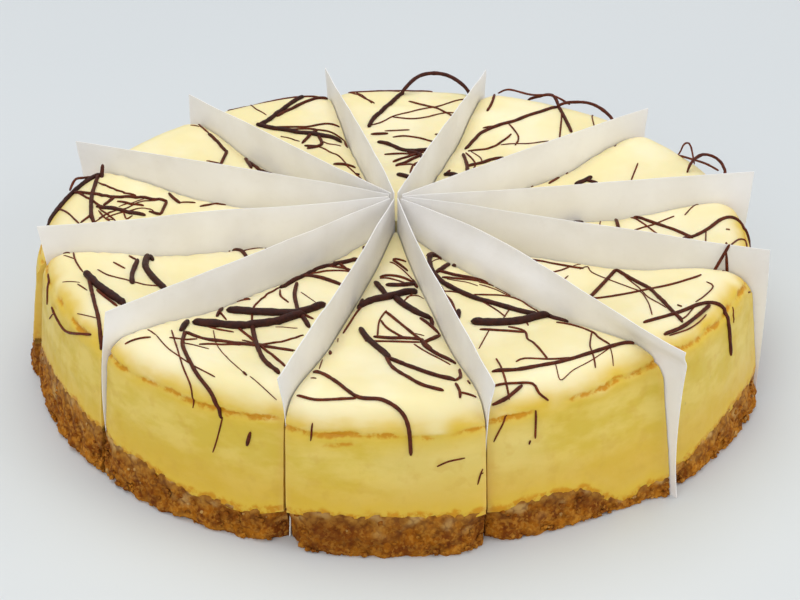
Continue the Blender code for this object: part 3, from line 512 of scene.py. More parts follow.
def rim_pattern(cake, along, pattern):
    """Value of a pattern at a place along the rim."""
    size, step, seed = pattern
    return noise.noise((along / size, cake.number * step, seed))


def side_pattern(cake, along, up, pattern):
    """Value of a pattern at a place along the side and up it."""
    length, rise, seed = pattern
    return noise.noise((along / length, up / rise, cake.number + seed))


def tear(cake, along, past):
    """Relief and stain of the torn line, at a place along the rim and a way above it."""
    ragged = TEAR_RAGGED * rim_pattern(cake, along, RAGGED_TEAR)
    strength = smooth(0.62 + 0.75 * rim_pattern(cake, along, TEAR_STRENGTH))
    second = smooth(1.5 * rim_pattern(cake, along, SECOND_TEAR) + 0.05)
    ragged_low = SECOND_TEAR_RAGGED * rim_pattern(cake, along, RAGGED_SECOND)
    groove = strength * bell(past + ragged, TEAR_WIDTH)
    groove_low = 0.7 * second * bell(past + SECOND_TEAR_BELOW + ragged_low, TEAR_WIDTH)
    lip = LIP_HEIGHT * (0.5 + 0.5 * strength) * bell(past - LIP_PLACE, LIP_WIDTH)
    stained = strength * bell(past + ragged, STAIN_WIDTH)
    stained = min(1.6 * stained + 1.2 * groove_low, 1.0)
    return lip - TEAR_DEPTH * (groove + groove_low), stained


def crack_line(cake, share):
    """Angle on the rim at which the skin is torn on one column."""
    azimuth = column_azimuth(cake, CREST_RADIUS, share)
    wander = noise.noise((azimuth * CRACK_WAVES, cake.number * 1.3, 5.0))
    jitter = noise.noise((azimuth * CREST_RADIUS / JITTER_SIZE, cake.number * 1.9, 3.0))
    return CRACK_ANGLE + blend(cake.crack, share) + CRACK_WANDER * wander + TEAR_JITTER * jitter


def cream_column(cake, share, sides, tops):
    """Points of the cream's closed section on one column.

    Their masks are how torn, how much side, how golden and how near a cut each one is.
    """
    points, masks = [], []
    along = column_azimuth(cake, FOOT_RADIUS, share) * FOOT_RADIUS
    cut = bell(from_cut(cake, CREST_RADIUS, share), 0.9 * MM)
    aside = side_fall(cake, share)
    torn_at = crack_line(cake, share)
    patchy = smooth(1.0 + 1.1 * rim_pattern(cake, along, GOLD_PATCHES))
    hem = 0.8 + 1.3 * rim_pattern(cake, along, HEM_TEETH)

    def put(radius, height, torn, side, golden):
        points.append(placed(cake, radius, height, share))
        masks.append((torn, side, golden, cut))

    for radius in JOINT_RADII:
        put(radius, crust_line(cake, radius, share) - CREAM_BELOW, 0.0, 1.0, 0.0)
    line = crust_line(cake, FOOT_RADIUS, share)
    foot = line - CREAM_BELOW
    top = shoulder(cake)[1]
    for step in range(sides):
        height = foot + (top - foot) * step / sides
        past = height - top - ROUNDING * math.radians(torn_at - SHOULDER_ANGLE)
        relief, torn = tear(cake, along, past)
        relief += SWELL_DEPTH * side_pattern(cake, along, height, SIDE_SWELL)
        relief += GRAIN_DEPTH * side_pattern(cake, along, height, SIDE_GRAIN)
        above = height - line
        ragged = side_pattern(cake, along, height, RAGGED_HEM)
        tucked = 3.4 * (1.0 - smooth(above / MM + hem))
        relief += HEM_DEPTH * (ragged - tucked) * bell(above, HEM_WIDTH)
        golden = max(patchy * bell(past - GOLD_PLACE, GOLD_WIDTH), torn)
        golden = max(golden, 0.85 * bell(max(above - 0.6 * MM + ragged * 1.6 * MM, 0.0), 2.8 * MM))
        smeared = 0.9 * bell(max(above - 0.3 * MM + ragged * 1.2 * MM, 0.0), 1.3 * MM)
        put(side_radius(cake, height, share) - aside + relief, height, max(torn, smeared), 1.0, golden)
    for step in range(RIM_STEPS + 1):
        degrees = SHOULDER_ANGLE + (90.0 - SHOULDER_ANGLE) * step / RIM_STEPS
        (radius, height), facing = rim_point(cake, degrees)
        past = ROUNDING * math.radians(degrees - torn_at)
        relief, torn = tear(cake, along, past)
        ripple = side_pattern(cake, along, degrees, RIM_RIPPLE)
        relief += RIPPLE_DEPTH * ripple * (1.0 - 0.5 * facing[1])
        out = relief - aside - (edge_fall(cake, radius, share) - aside) * facing[1]
        shaded = 0.35 * side_pattern(cake, along, past, RIM_SHADE)
        side = smooth(0.66 - past / (7.5 * MM) + shaded)
        golden = max(patchy * bell(past - GOLD_PLACE, GOLD_WIDTH), torn)
        put(radius + out * facing[0], height + out * facing[1], torn, side, golden)
    for step in range(1, tops + 1):
        radius = CREST_RADIUS + (TIP_RADIUS - CREST_RADIUS) * step / tops
        azimuth = column_azimuth(cake, radius, share)
        spot = Vector((math.cos(azimuth), math.sin(azimuth), cake.number)) * radius
        swell = SWELL * noise.noise(spot / SWELL_SIZE) * smooth(radius / FULL_RADIUS)
        swell += TOP_GRAIN_DEPTH * noise.noise(spot / TOP_GRAIN_SIZE) * smooth(radius / TOP_GRAIN_FULL)
        height = top_height(cake, radius) + swell - edge_fall(cake, radius, share)
        put(radius, height, 0.0, 0.0, 0.0)
    return points, masks


def lumps(spot, kind):
    """How far lumps of one kind stand out of the crust at a spot."""
    rise, size, level = kind
    return rise * (level - noise.voronoi(spot / size)[0][0])


def crust_column(cake, share, walls):
    """Points of the crust's closed section on one column.

    Their masks are how greasy, how smeared with cream, nothing, and how much painted shade each one takes.
    """
    points, masks = [], []
    chip = chipped(cake, FOOT_RADIUS, share)
    aside = side_fall(cake, share)
    along = column_azimuth(cake, FOOT_RADIUS, share) * FOOT_RADIUS
    line = crust_line(cake, FOOT_RADIUS, share)
    foot = side_radius(cake, 0.0, share) - aside - chip - FOOT_INSET
    # Painted shade of this slice's crust, carried in the alpha of its masks
    painted_shade = CRUST_SHADE_BY_SLICE[cake.number - 1]
    for radius in (TIP_RADIUS, 0.5 * foot, foot - 2 * MM):
        points.append(placed(cake, radius, 0.0, share))
        masks.append((0.0, 0.0, 0.0, painted_shade))
    for step in range(walls + 1):
        level = step / walls
        height = (line + CRUST_ABOVE) * level
        spot = Vector((along / CRAG_SIZE, cake.number * 2.1, height / CRAG_SIZE))
        shape = CRAG * noise.noise(spot) - chip
        base = side_radius(cake, height, share) - aside + shape * (1.0 - level ** 3)
        base -= FOOT_INSET * (1.0 - smooth(level / 0.1))
        crumble = lumps(Vector((along, cake.number * 0.01, height)), CRUST_LUMPS)
        crumble += lumps(Vector((along, cake.number * 0.02, height)), CRUST_GRIT)
        greasy = smooth(1.7 * (level - 0.52) + 0.5 * noise.noise(spot * 0.9) + 0.1)
        crumble *= 1.0 - 0.6 * greasy - 0.3 * smooth((level - 0.75) / 0.2)
        under = smooth((height - line + CRUST_ABOVE / 2) / CRUST_ABOVE) * CRUST_UNDER
        smear = smooth(2.2 * side_pattern(cake, along, height, CRUST_SMEARS) - 0.2)
        points.append(placed(cake, base + crumble - under, height, share))
        masks.append((greasy, smear * smooth((level - 0.35) / 0.4), 0.0, painted_shade))
    for radius in JOINT_RADII[::-1]:
        points.append(placed(cake, radius, crust_line(cake, radius, share) - JOINT_GAP / 2, share))
        masks.append((1.0, 0.0, 0.0, painted_shade))
    return points, masks


def shares_of(cake, step):
    """Evenly spread columns about one step apart at the foot."""
    count = math.ceil((cake.end - cake.start) * FOOT_RADIUS / step)
    return [column / count for column in range(count + 1)]


def loft(columns):
    """Vertices, masks and faces of a closed body through columns of equal length."""
    size = len(columns[0][0])
    verts = [point for points, _ in columns for point in points]
    masks = [mask for _, column in columns for mask in column]
    faces = []
    for number in range(len(columns) - 1):
        here, there = number * size, (number + 1) * size
        for index in range(size):
            before = (index - 1) % size
            faces.append((here + before, here + index, there + index, there + before))
    faces.append(tuple(reversed(range(size))))
    last = (len(columns) - 1) * size
    faces.append(tuple(range(last, last + size)))
    return verts, masks, faces


def new_piece(name, verts, faces, material, masks=None, sharp=SHARP_ANGLE):
    """Mesh object with smooth shading, its masks and its material."""
    mesh = bpy.data.meshes.new(name)
    mesh.from_pydata(verts, [], faces)
    if masks:
        layer = mesh.attributes.new("masks", "FLOAT_COLOR", "POINT")
        layer.data.foreach_set("color", [value for mask in masks for value in mask])
    mesh.materials.append(material)
    mesh.shade_smooth()
    if sharp:
        mesh.set_sharp_from_angle(angle=math.radians(sharp))
    shape = bmesh.new()
    shape.from_mesh(mesh)
    bmesh.ops.recalc_face_normals(shape, faces=shape.faces)
    shape.to_mesh(mesh)
    shape.free()
    piece = bpy.data.objects.new(name, mesh)
    bpy.context.scene.collection.objects.link(piece)
    return piece


def placed_on_frame(piece, slot, *nodes):
    """Rides on the body and stands for its nodes; its slot is not used."""
    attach(piece, "root")
    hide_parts(*nodes)


def sphere_of(detail):
    """Vertices and faces of a round template."""
    shape = bmesh.new()
    bmesh.ops.create_icosphere(shape, subdivisions=detail, radius=1.0)
    shape.verts.ensure_lookup_table()
    verts = [vert.co.copy() for vert in shape.verts]
    faces = [tuple(vert.index for vert in face.verts) for face in shape.faces]
    shape.free()
    return verts, faces


SMALL_LUMP = sphere_of(1)
LARGE_LUMP = sphere_of(2)
LUMP_UNEVEN = 0.45
LUMP_WAVES = 1.4
LUMP_OFF_FLOOR = 0.02 * MM


def add_lump(verts, masks, faces, centre, sizes, turn, template, seed, mask):
    """Adds one uneven lump, squashed to its sizes and turned."""
    base = len(verts)
    for vert in template[0]:
        scale = 1.0 + LUMP_UNEVEN * noise.noise(vert * LUMP_WAVES + Vector((seed, 0.0, 0.0)))
        spot = turn @ Vector((vert.x * sizes[0], vert.y * sizes[1], vert.z * sizes[2])) * scale
        point = centre + spot
        verts.append((point.x, point.y, max(point.z, LUMP_OFF_FLOOR)))
        masks.append(mask)
    for face in template[1]:
        faces.append(tuple(base + index for index in face))


def side_point(cake, azimuth, height, sunk):
    """World point at the side, sunk below the skin, and the turn that faces outwards."""
    share = share_of(cake, Vector((math.cos(azimuth), math.sin(azimuth))))
    radius = side_radius(cake, height, share) * reach(cake, share) - sunk
    centre = Vector((radius * math.cos(azimuth), radius * math.sin(azimuth), height))
    return centre, Matrix.Rotation(azimuth, 3, "Z")


CRUMB_SEED = 12
CRUMBS_A_DEGREE = 3.6
CRUMB_SIZES = (0.35, 1.15)
LARGE_CRUMB = 0.75 * MM
# Share of the crumbs that are pale, and how pale
PALE_CRUMBS = 0.08
PALENESS = 0.9
# How far along a slice its crumbs lie, and how high up its crust
CRUMB_SHARES = (0.012, 0.988)
CRUMB_TOP = 0.86
# Slices whose crust has loose crumbs packed beside a cut: the share of the way through
SEAM_CRUMBS = {11: (0.955, 0.999), 12: (0.001, 0.03)}
SEAM_COUNT = 26


def crust_crumbs(cake, verts, masks, faces, draw):
    """Crumbs stuck on the crust's side, more of them where a seam is packed."""
    spread = round(math.degrees(cake.end - cake.start) * CRUMBS_A_DEGREE)
    packed = SEAM_CRUMBS.get(cake.number)
    for number in range(spread + (SEAM_COUNT if packed else 0)):
        share = draw.uniform(*(packed if number >= spread else CRUMB_SHARES))
        size = draw.uniform(*CRUMB_SIZES) * MM * draw.uniform(0.7, 1.0)
        line = crust_line(cake, FOOT_RADIUS, share)
        height = max(size * 0.8, line * draw.uniform(0.0, 1.0) ** 1.5 * CRUMB_TOP)
        azimuth = column_azimuth(cake, FOOT_RADIUS, share)
        sunk = (chipped(cake, FOOT_RADIUS, share) * (1.0 - (height / line) ** 3)
                + side_fall(cake, share)
                + FOOT_INSET * (1.0 - smooth(height / (0.1 * line))) + size * 0.25)
        centre, turn = side_point(cake, azimuth, height, sunk)
        lump = LARGE_LUMP if size > LARGE_CRUMB else SMALL_LUMP
        sizes = (size * 0.75, size * draw.uniform(0.8, 1.3), size * draw.uniform(0.6, 1.0))
        pale = PALENESS if draw.random() < PALE_CRUMBS else 0.0
        # Each crumb carries its slice's painted shade in the alpha of its mask
        mask = (draw.uniform(0.0, 0.3), pale, 0.0, CRUST_SHADE_BY_SLICE[cake.number - 1])
        add_lump(verts, masks, faces, centre, sizes, turn, lump, number * 3.1, mask)


def spline_points(stops, step):
    """Smooth curve through the stops, as points about one step apart."""
    points = [stops[0]]
    ends = [stops[0]] + list(stops) + [stops[-1]]
    for before, start, end, after in zip(ends, ends[1:], ends[2:], ends[3:]):
        steps = max(1, round((end - start).length / step))
        for index in range(1, steps + 1):
            t = index / steps
            points.append(0.5 * (2 * start + (end - before) * t
                                 + (2 * before - 5 * start + 4 * end - after) * t ** 2
                                 + (3 * start - before - 3 * end + after) * t ** 3))
    return points


def share_of(cake, point):
    """Share of the way through the slice at which a point lies."""
    middle = (cake.start + cake.end) / 2
    turn = math.remainder(math.atan2(point.y, point.x) - middle, 2.0 * math.pi)
    return 0.5 + turn / (cake.end - cake.start)


def clear_of_cuts(cake, point, margin):
    """Whether a point is further than the margin inside both cut faces."""
    share = share_of(cake, point)
    inside = min(share, 1.0 - share) * (cake.end - cake.start)
    return inside > 0.0 and point.xy.length * math.sin(min(inside, math.pi / 2)) > margin


def strand_route(cake, skin, width, arch, numbers):
    """The centre line of one strand, laid on the cream's skin, and raised where it arches."""
    stops = [Vector(pair) * MM for pair in zip(numbers[0::2], numbers[1::2])]
    flat = spline_points(stops, STRAND_STEP)
    route = []
    for index, spot in enumerate(flat):
        share = share_of(cake, spot)
        (radius, height), facing = unrolled(cake, spot.length, share)
        out = spot.normalized()
        normal = Vector((out.x * facing[0], out.y * facing[0], facing[1]))
        reached = radius * reach(cake, share)
        start = Vector((out.x * reached, out.y * reached, height)) + normal * PROBE_START
        hit = skin.ray_cast(start, -normal, PROBE_LENGTH)[0]
        raised = arch * math.sin(math.pi * index / (len(flat) - 1))
        if hit is None or not clear_of_cuts(cake, hit, HALF_CUT + width / 2 + STRAND_CLEARANCE):
            if len(route) > 1:
                break
            route = []
            continue
        route.append(hit + normal * (SIT * width + raised))
    return route


# Thicknesses from which a strand has 10 and 8 sides, instead of 6
THICK_STRAND = 1.4 * MM
MIDDLE_STRAND = 0.8 * MM
# Thicknesses up to which a strand is coloured as the thinnest, and over which that fades
THIN_STRAND = 0.5 * MM
THIN_FADE = 1.4 * MM
# Unevenness of a strand: share of its thickness, length of it, and seed
STRAND_ROUGH = ((0.16, 2.4 * MM, 0.0), (0.12, 0.9 * MM, 4.0))
STRAND_GRAIN = 0.07
STRAND_GRAIN_SIZE = 0.8 * MM
# Share of its thickness that a strand has at its end, one step on, and from there
STRAND_ENDS = (0.62, 0.9, 1.0)
STRAND_TIP = 0.28
# Share of its named thickness that a thick and a fine strand are made with
THICK_SHARE = 0.94
FINE_SHARE = 0.86


def add_tube(verts, masks, faces, route, width, seed):
    """Adds a strand of uneven thickness along a route, with drawn-out ends.

    Its mask is how thin it is.
    """
    sides = 10 if width > THICK_STRAND else 8 if width > MIDDLE_STRAND else 6
    thin = 1.0 - smooth((width - THIN_STRAND) / THIN_FADE)
    mask = (thin, 0.0, 0.0, 1.0)
    across = None
    rings = []
    travelled = 0.0
    for index, point in enumerate(route):
        ahead = route[min(index + 1, len(route) - 1)]
        behind = route[max(index - 1, 0)]
        along = (ahead - behind).normalized()
        travelled += (point - behind).length
        if across is None:
            guide = Vector((0.0, 0.0, 1.0)) if abs(along.z) < 0.9 else Vector((1.0, 0.0, 0.0))
            across = along.cross(guide).normalized()
        across = (across - along * across.dot(along)).normalized()
        up = along.cross(across)
        rough = 1.0
        for depth, length, shift in STRAND_ROUGH:
            rough += depth * noise.noise((travelled / length, seed, shift))
        from_end = min(index, len(route) - 1 - index)
        ending = STRAND_ENDS[min(from_end, 2)]
        ring = []
        for side in range(sides):
            angle = 2.0 * math.pi * side / sides
            grain = 1.0 + STRAND_GRAIN * noise.noise((travelled / STRAND_GRAIN_SIZE, angle, seed + 9.0))
            arm = width / 2 * rough * ending * grain
            spot = point + (across * math.cos(angle) + up * math.sin(angle)) * arm
            ring.append(len(verts))
            verts.append(tuple(spot))
            masks.append(mask)
        rings.append((ring, point, along))
    for (ring, _, _), (other, _, _) in zip(rings, rings[1:]):
        for side in range(sides):
            following = (side + 1) % sides
            faces.append((ring[side], ring[following], other[following], other[side]))
    for (ring, point, along), sign in ((rings[0], -1.0), (rings[-1], 1.0)):
        apex = len(verts)
        verts.append(tuple(point + along * (sign * width * STRAND_TIP)))
        masks.append(mask)
        for side in range(sides):
            faces.append((ring[side], ring[(side + 1) % sides], apex))


def drizzle_piece(cake, cream, material):
    """All strands of one slice, laid on its cream."""
    view = bpy.context.evaluated_depsgraph_get()
    skin = BVHTree.FromObject(cream, view)
    verts, masks, faces = [], [], []
    strands = [(row[0], row[1], row[2:]) for row in DRIZZLE[cake.number]]
    strands += [(row[0], 0, row[1:]) for row in FINE_STRANDS.get(cake.number, ())]
    for index, (width, arch, numbers) in enumerate(strands):
        route = strand_route(cake, skin, width * MM, arch * MM, numbers)
        if len(route) > 1:
            made = THICK_SHARE if index < len(DRIZZLE[cake.number]) else FINE_SHARE
            add_tube(verts, masks, faces, route, width * made * MM, cake.number * 7.0 + index * 0.37)
    for index, (width, *numbers) in enumerate(FREE_STRANDS.get(cake.number, ())):
        stops = [Vector(spot) * MM for spot in zip(numbers[0::3], numbers[1::3], numbers[2::3])]
        route = spline_points(stops, STRAND_STEP)
        add_tube(verts, masks, faces, route, width * MM, cake.number * 5.0 + index)
    return new_piece(f"drizzle_{cake.number:02d}", verts, faces, material, masks, sharp=0.0)


def paper_edge(index, height):
    """Radius of a divider's outer edge, a curve through its three named reaches."""
    top, middle, foot = (value * MM for value in PAPER_REACH[index])
    up = height / PAPER_TOP
    return (foot * (1.0 - up) * (1.0 - 2.0 * up) + middle * 4.0 * up * (1.0 - up)
            + top * up * (2.0 * up - 1.0))


# Waves of a divider: up to this much where it stands free of the cream, along and up
PAPER_WAVE = 0.28 * MM
PAPER_WAVE_RISE = 14 * MM
# And where it stands out past the side: how much, how high each wave is, and from which radius
OUTER_WAVE = 0.9 * MM
OUTER_WAVE_RISE = 22 * MM
OUTER_FROM = 119.5 * MM
OUTER_OVER = 5 * MM


def paper_piece(index, material):
    """One wavy sheet in its cut."""
    azimuth = math.radians(CUT_AZIMUTHS[index])
    along = Vector((math.cos(azimuth), math.sin(azimuth), 0.0))
    across = Vector((-math.sin(azimuth), math.cos(azimuth), 0.0))
    columns, rows = PAPER_COLUMNS, PAPER_ROWS
    verts, faces = [], []
    for side in (-0.5, 0.5):
        for row in range(rows + 1):
            height = PAPER_FOOT + (PAPER_TOP - PAPER_FOOT) * row / rows
            raised = smooth((height - BOW_FROM) / BOW_OVER)
            outer = paper_edge(index, height)
            for column in range(columns + 1):
                share = column / columns
                radius = PAPER_INNER + (outer - PAPER_INNER) * share
                bow = PAPER_BOW[index] * MM * math.sin(1.5 * math.pi * share) * raised
                wave = noise.noise((9.0 * share, height / PAPER_WAVE_RISE, index * 2.3))
                bow += PAPER_WAVE * wave * raised
                out = smooth((radius - OUTER_FROM) / OUTER_OVER)
                bow += OUTER_WAVE * noise.noise((height / OUTER_WAVE_RISE, index * 4.4, 3.0)) * out
                dip = PAPER_DIP * noise.noise((3.0 * share, index * 1.7, 0.0)) * raised
                dip -= PAPER_SINKS[index] * MM * share ** 2 * raised
                bow += side * PAPER_THICKNESS
                verts.append(tuple(along * radius + across * bow + Vector((0.0, 0.0, height + dip))))
    layer = (rows + 1) * (columns + 1)
    for row in range(rows):
        for column in range(columns):
            here = row * (columns + 1) + column
            above = here + columns + 1
            faces.append((here, here + 1, above + 1, above))
            faces.append((layer + here, layer + above, layer + above + 1, layer + here + 1))
    rim = list(range(columns + 1))
    rim += [row * (columns + 1) + columns for row in range(1, rows + 1)]
    rim += [rows * (columns + 1) + column for column in range(columns - 1, -1, -1)]
    rim += [row * (columns + 1) for row in range(rows - 1, 0, -1)]
    for here, following in zip(rim, rim[1:] + rim[:1]):
        faces.append((here, layer + here, layer + following, following))
    return new_piece(f"sheet_{index + 1:02d}", verts, faces, material)


class Nodes:
    """One material's node tree, with its piece's masks as red, green, blue and alpha."""

    def __init__(self, name):
        self.material = bpy.data.materials.new(name)
        self.material.use_nodes = True
        self.tree = self.material.node_tree
        self.shader = self.tree.nodes["Principled BSDF"]
        place = self.tree.nodes.new("ShaderNodeTexCoord")
        self.place = place.outputs["Object"]
        masks = self.tree.nodes.new("ShaderNodeAttribute")
        masks.attribute_name = "masks"
        parts = self.tree.nodes.new("ShaderNodeSeparateColor")
        self.link(masks.outputs["Color"], parts.inputs["Color"])
        self.red, self.green, self.blue = parts.outputs
        self.alpha = masks.outputs["Alpha"]

    def link(self, source, target):
        self.tree.links.new(source, target)

    def feed(self, socket, value):
        if isinstance(value, bpy.types.NodeSocket):
            self.link(value, socket)
        elif isinstance(value, tuple) and len(value) == 3 and socket.type == "RGBA":
            socket.default_value = (*value, 1.0)
        else:
            socket.default_value = value

    def noise(self, scale, detail=4.0, roughness=0.5, stretch=(1.0, 1.0, 1.0)):
        mapping = self.tree.nodes.new("ShaderNodeMapping")
        mapping.inputs["Scale"].default_value = stretch
        self.link(self.place, mapping.inputs["Vector"])
        texture = self.tree.nodes.new("ShaderNodeTexNoise")
        self.link(mapping.outputs["Vector"], texture.inputs["Vector"])
        texture.inputs["Scale"].default_value = scale
        texture.inputs["Detail"].default_value = detail
        texture.inputs["Roughness"].default_value = roughness
        return texture.outputs["Fac"]

    def cells(self, scale):
        texture = self.tree.nodes.new("ShaderNodeTexVoronoi")
        self.link(self.place, texture.inputs["Vector"])
        texture.inputs["Scale"].default_value = scale
        return texture.outputs["Distance"]

    def grains(self, scale):
        texture = self.tree.nodes.new("ShaderNodeTexVoronoi")
        self.link(self.place, texture.inputs["Vector"])
        texture.inputs["Scale"].default_value = scale
        split = self.tree.nodes.new("ShaderNodeSeparateColor")
        self.link(texture.outputs["Color"], split.inputs["Color"])
        return split.outputs["Red"]

    def between(self, value, low, high, start=0.0, end=1.0):
        node = self.tree.nodes.new("ShaderNodeMapRange")
        node.interpolation_type = "SMOOTHSTEP"
        for name, setting in (("Value", value), ("From Min", low), ("From Max", high),
                              ("To Min", start), ("To Max", end)):
            self.feed(node.inputs[name], setting)
        return node.outputs["Result"]

    def mix(self, share, first, second):
        node = self.tree.nodes.new("ShaderNodeMix")
        node.data_type = "RGBA"
        self.feed(node.inputs["Factor"], share)
        self.feed(node.inputs[6], first)
        self.feed(node.inputs[7], second)
        return node.outputs[2]

    def maths(self, operation, first, second):
        node = self.tree.nodes.new("ShaderNodeMath")
        node.operation = operation
        self.feed(node.inputs[0], first)
        self.feed(node.inputs[1], second)
        return node.outputs[0]

    def height(self):
        split = self.tree.nodes.new("ShaderNodeSeparateXYZ")
        self.link(self.place, split.inputs["Vector"])
        return split.outputs["Z"]

    def bump(self, source, distance, strength=1.0):
        node = self.tree.nodes.new("ShaderNodeBump")
        node.inputs["Distance"].default_value = distance
        node.inputs["Strength"].default_value = strength
        self.link(source, node.inputs["Height"])
        self.link(node.outputs["Normal"], self.shader.inputs["Normal"])

    def set(self, **sockets):
        for name, value in sockets.items():
            self.feed(self.shader.inputs[name.replace("_", " ")], value)


def srgb(code):
    """Linear colour of a six-digit colour code."""
    levels = [int(code[index:index + 2], 16) / 255.0 for index in (0, 2, 4)]
    return tuple(level / 12.92 if level <= 0.04045 else ((level + 0.055) / 1.055) ** 2.4
                 for level in levels)


def cream_material():
    look = Nodes("baked_cream")
    broad = look.noise(38.0, 3.0)
    fine = look.noise(210.0, 4.0)
    top = look.mix(look.between(broad, 0.35, 0.65), srgb("F3E5AC"), srgb("F8EDC3"))
    streaks = look.noise(70.0, 4.0, 0.55, (1.0, 1.0, 2.2))
    side = look.mix(look.between(streaks, 0.36, 0.66), srgb("D8BA40"), srgb("E5CA64"))
    cloudy = look.between(look.noise(26.0, 3.0), 0.5, 0.68, 0.0, 0.5)
    side = look.mix(cloudy, side, srgb("E8D284"))
    low = look.between(look.height(), 0.030, 0.014)
    side = look.mix(look.maths("MULTIPLY", low, 0.7), side, srgb("DBB032"))
    side = look.mix(look.between(fine, 0.52, 0.70, 0.0, 0.3), side, srgb("D0A63E"))
    skin = look.mix(look.green, top, side)
    amber = look.maths("MULTIPLY", look.blue, look.between(streaks, 0.3, 0.6, 0.55, 0.95))
    skin = look.mix(amber, skin, srgb("E0BB34"))
    flecks = look.between(look.noise(420.0, 3.0, 0.6), 0.36, 0.6, 0.35, 1.2)
    ragged = look.maths("MULTIPLY", look.red, flecks)
    skin = look.mix(look.between(ragged, 0.15, 0.95, 0.0, 0.95), skin, srgb("D09000"))
    pores = look.between(look.cells(170.0), 0.10, 0.05)
    pores = look.maths("MULTIPLY", pores, look.between(look.noise(60.0, 2.0), 0.52, 0.62))
    pores = look.maths("MULTIPLY", pores, look.green)
    skin = look.mix(look.maths("MULTIPLY", pores, 0.4), skin, srgb("B8A04C"))
    # Golden tint on the side near each cut and on the cut faces: partly painted warm light and shade of the
    # narrow slit between slices, partly the edge's own colour
    edges = look.maths("MULTIPLY", look.alpha, look.green)
    skin = look.mix(look.maths("MULTIPLY", edges, 0.45), skin, srgb("E4C062"))
    look.set(Base_Color=skin, Roughness=look.between(fine, 0.3, 0.7, 0.42, 0.58))
    look.set(Subsurface_Weight=0.18, Subsurface_Radius=(0.004, 0.0026, 0.0012), Subsurface_Scale=0.5)
    look.set(Specular_IOR_Level=0.35)
    grain = look.maths("MULTIPLY", fine, look.between(look.green, 0.0, 1.0, 0.35, 1.0))
    grain = look.maths("SUBTRACT", grain, look.maths("MULTIPLY", pores, 0.5))
    look.bump(grain, 0.00035, 0.7)
    return look.material


def crust_material():
    look = Nodes("biscuit_crust")
    crumbs = look.cells(520.0)
    coarse = look.noise(240.0, 5.0, 0.65)
    fine = look.noise(900.0, 4.0, 0.6)
    golden = look.mix(look.between(coarse, 0.34, 0.66), srgb("783A04"), srgb("B46C10"))
    golden = look.mix(look.between(look.grains(1150.0), 0.35, 0.95, 0.0, 0.5), golden, srgb("D2943A"))
    # Painted highlights: pale flecks where the fine noise is high
    golden = look.mix(look.between(fine, 0.55, 0.8, 0.0, 0.35), golden, srgb("DCA64C"))
    greasy = look.mix(look.between(coarse, 0.35, 0.65), srgb("925C1A"), srgb("B88434"))
    tone = look.mix(look.red, golden, greasy)
    tone = look.mix(look.maths("MULTIPLY", look.green, 0.65), tone, srgb("DCB672"))
    # Painted shade in the gaps between the crumbs, darker far from each crumb's centre
    tone = look.mix(look.between(crumbs, 0.5, 0.85, 0.0, 0.55), tone, srgb("5A2A0A"))
    foot = look.between(look.height(), 0.0045, 0.0005, 0.0, 0.4)
    tone = look.mix(look.maths("MULTIPLY", foot, look.between(coarse, 0.4, 0.6)), tone, srgb("C88624"))
    # Painted shade: each slice's crust darkened towards 5A2600 by its alpha mask, less at the foot and on the
    # greasy top
    painted_shade = look.maths("MULTIPLY", look.alpha, look.between(look.height(), 0.001, 0.006, 0.2, 0.5))
    painted_shade = look.maths("MULTIPLY", painted_shade, look.between(look.noise(70.0, 3.0), 0.4, 0.62, 0.45, 1.15))
    painted_shade = look.maths("MULTIPLY", painted_shade, look.between(look.red, 0.3, 1.0, 1.0, 0.55))
    tone = look.mix(painted_shade, tone, srgb("5A2600"))
    look.set(Base_Color=tone, Roughness=look.between(look.red, 0.0, 1.0, 0.85, 0.6))
    look.set(Specular_IOR_Level=0.15)
    rough = look.maths("ADD", look.maths("MULTIPLY", crumbs, -0.7), coarse)
    look.bump(rough, 0.0006, 0.8)
    return look.material


def drizzle_material():
    look = Nodes("dark_sauce")
    fine = look.noise(650.0, 4.0, 0.6)
    thick = look.mix(look.between(fine, 0.35, 0.7), srgb("2C110C"), srgb("431E14"))
    thin = look.mix(look.between(fine, 0.35, 0.7), srgb("561D08"), srgb("783210"))
    look.set(Base_Color=look.mix(look.red, thick, thin))
    look.set(Roughness=look.between(fine, 0.3, 0.75, 0.42, 0.62), Specular_IOR_Level=0.18)
    look.bump(fine, 0.00022, 0.7)
    return look.material


def paper_material():
    look = Nodes("waxed_paper")
    cloudy = look.noise(55.0, 4.0)
    fibre = look.noise(420.0, 5.0, 0.6)
    tone = look.mix(look.between(cloudy, 0.35, 0.65), srgb("F4F1EE"), srgb("FAF8F7"))
    tone = look.mix(look.between(fibre, 0.55, 0.75, 0.0, 0.2), tone, srgb("EAE6E2"))
    look.set(Base_Color=tone, Roughness=look.between(fibre, 0.3, 0.7, 0.4, 0.55))
    look.set(Transmission_Weight=0.08, IOR=1.3, Specular_IOR_Level=0.3)
    look.bump(fibre, 0.00015, 0.4)
    return look.material


def floor_material():
    look = Nodes("pale_table")
    tone = look.mix(look.between(look.noise(1.5, 2.0), 0.3, 0.7), srgb("D4D9DC"), srgb("D9DDDF"))
    look.set(Base_Color=tone, Roughness=0.6, Specular_IOR_Level=0.2)
    return look.material


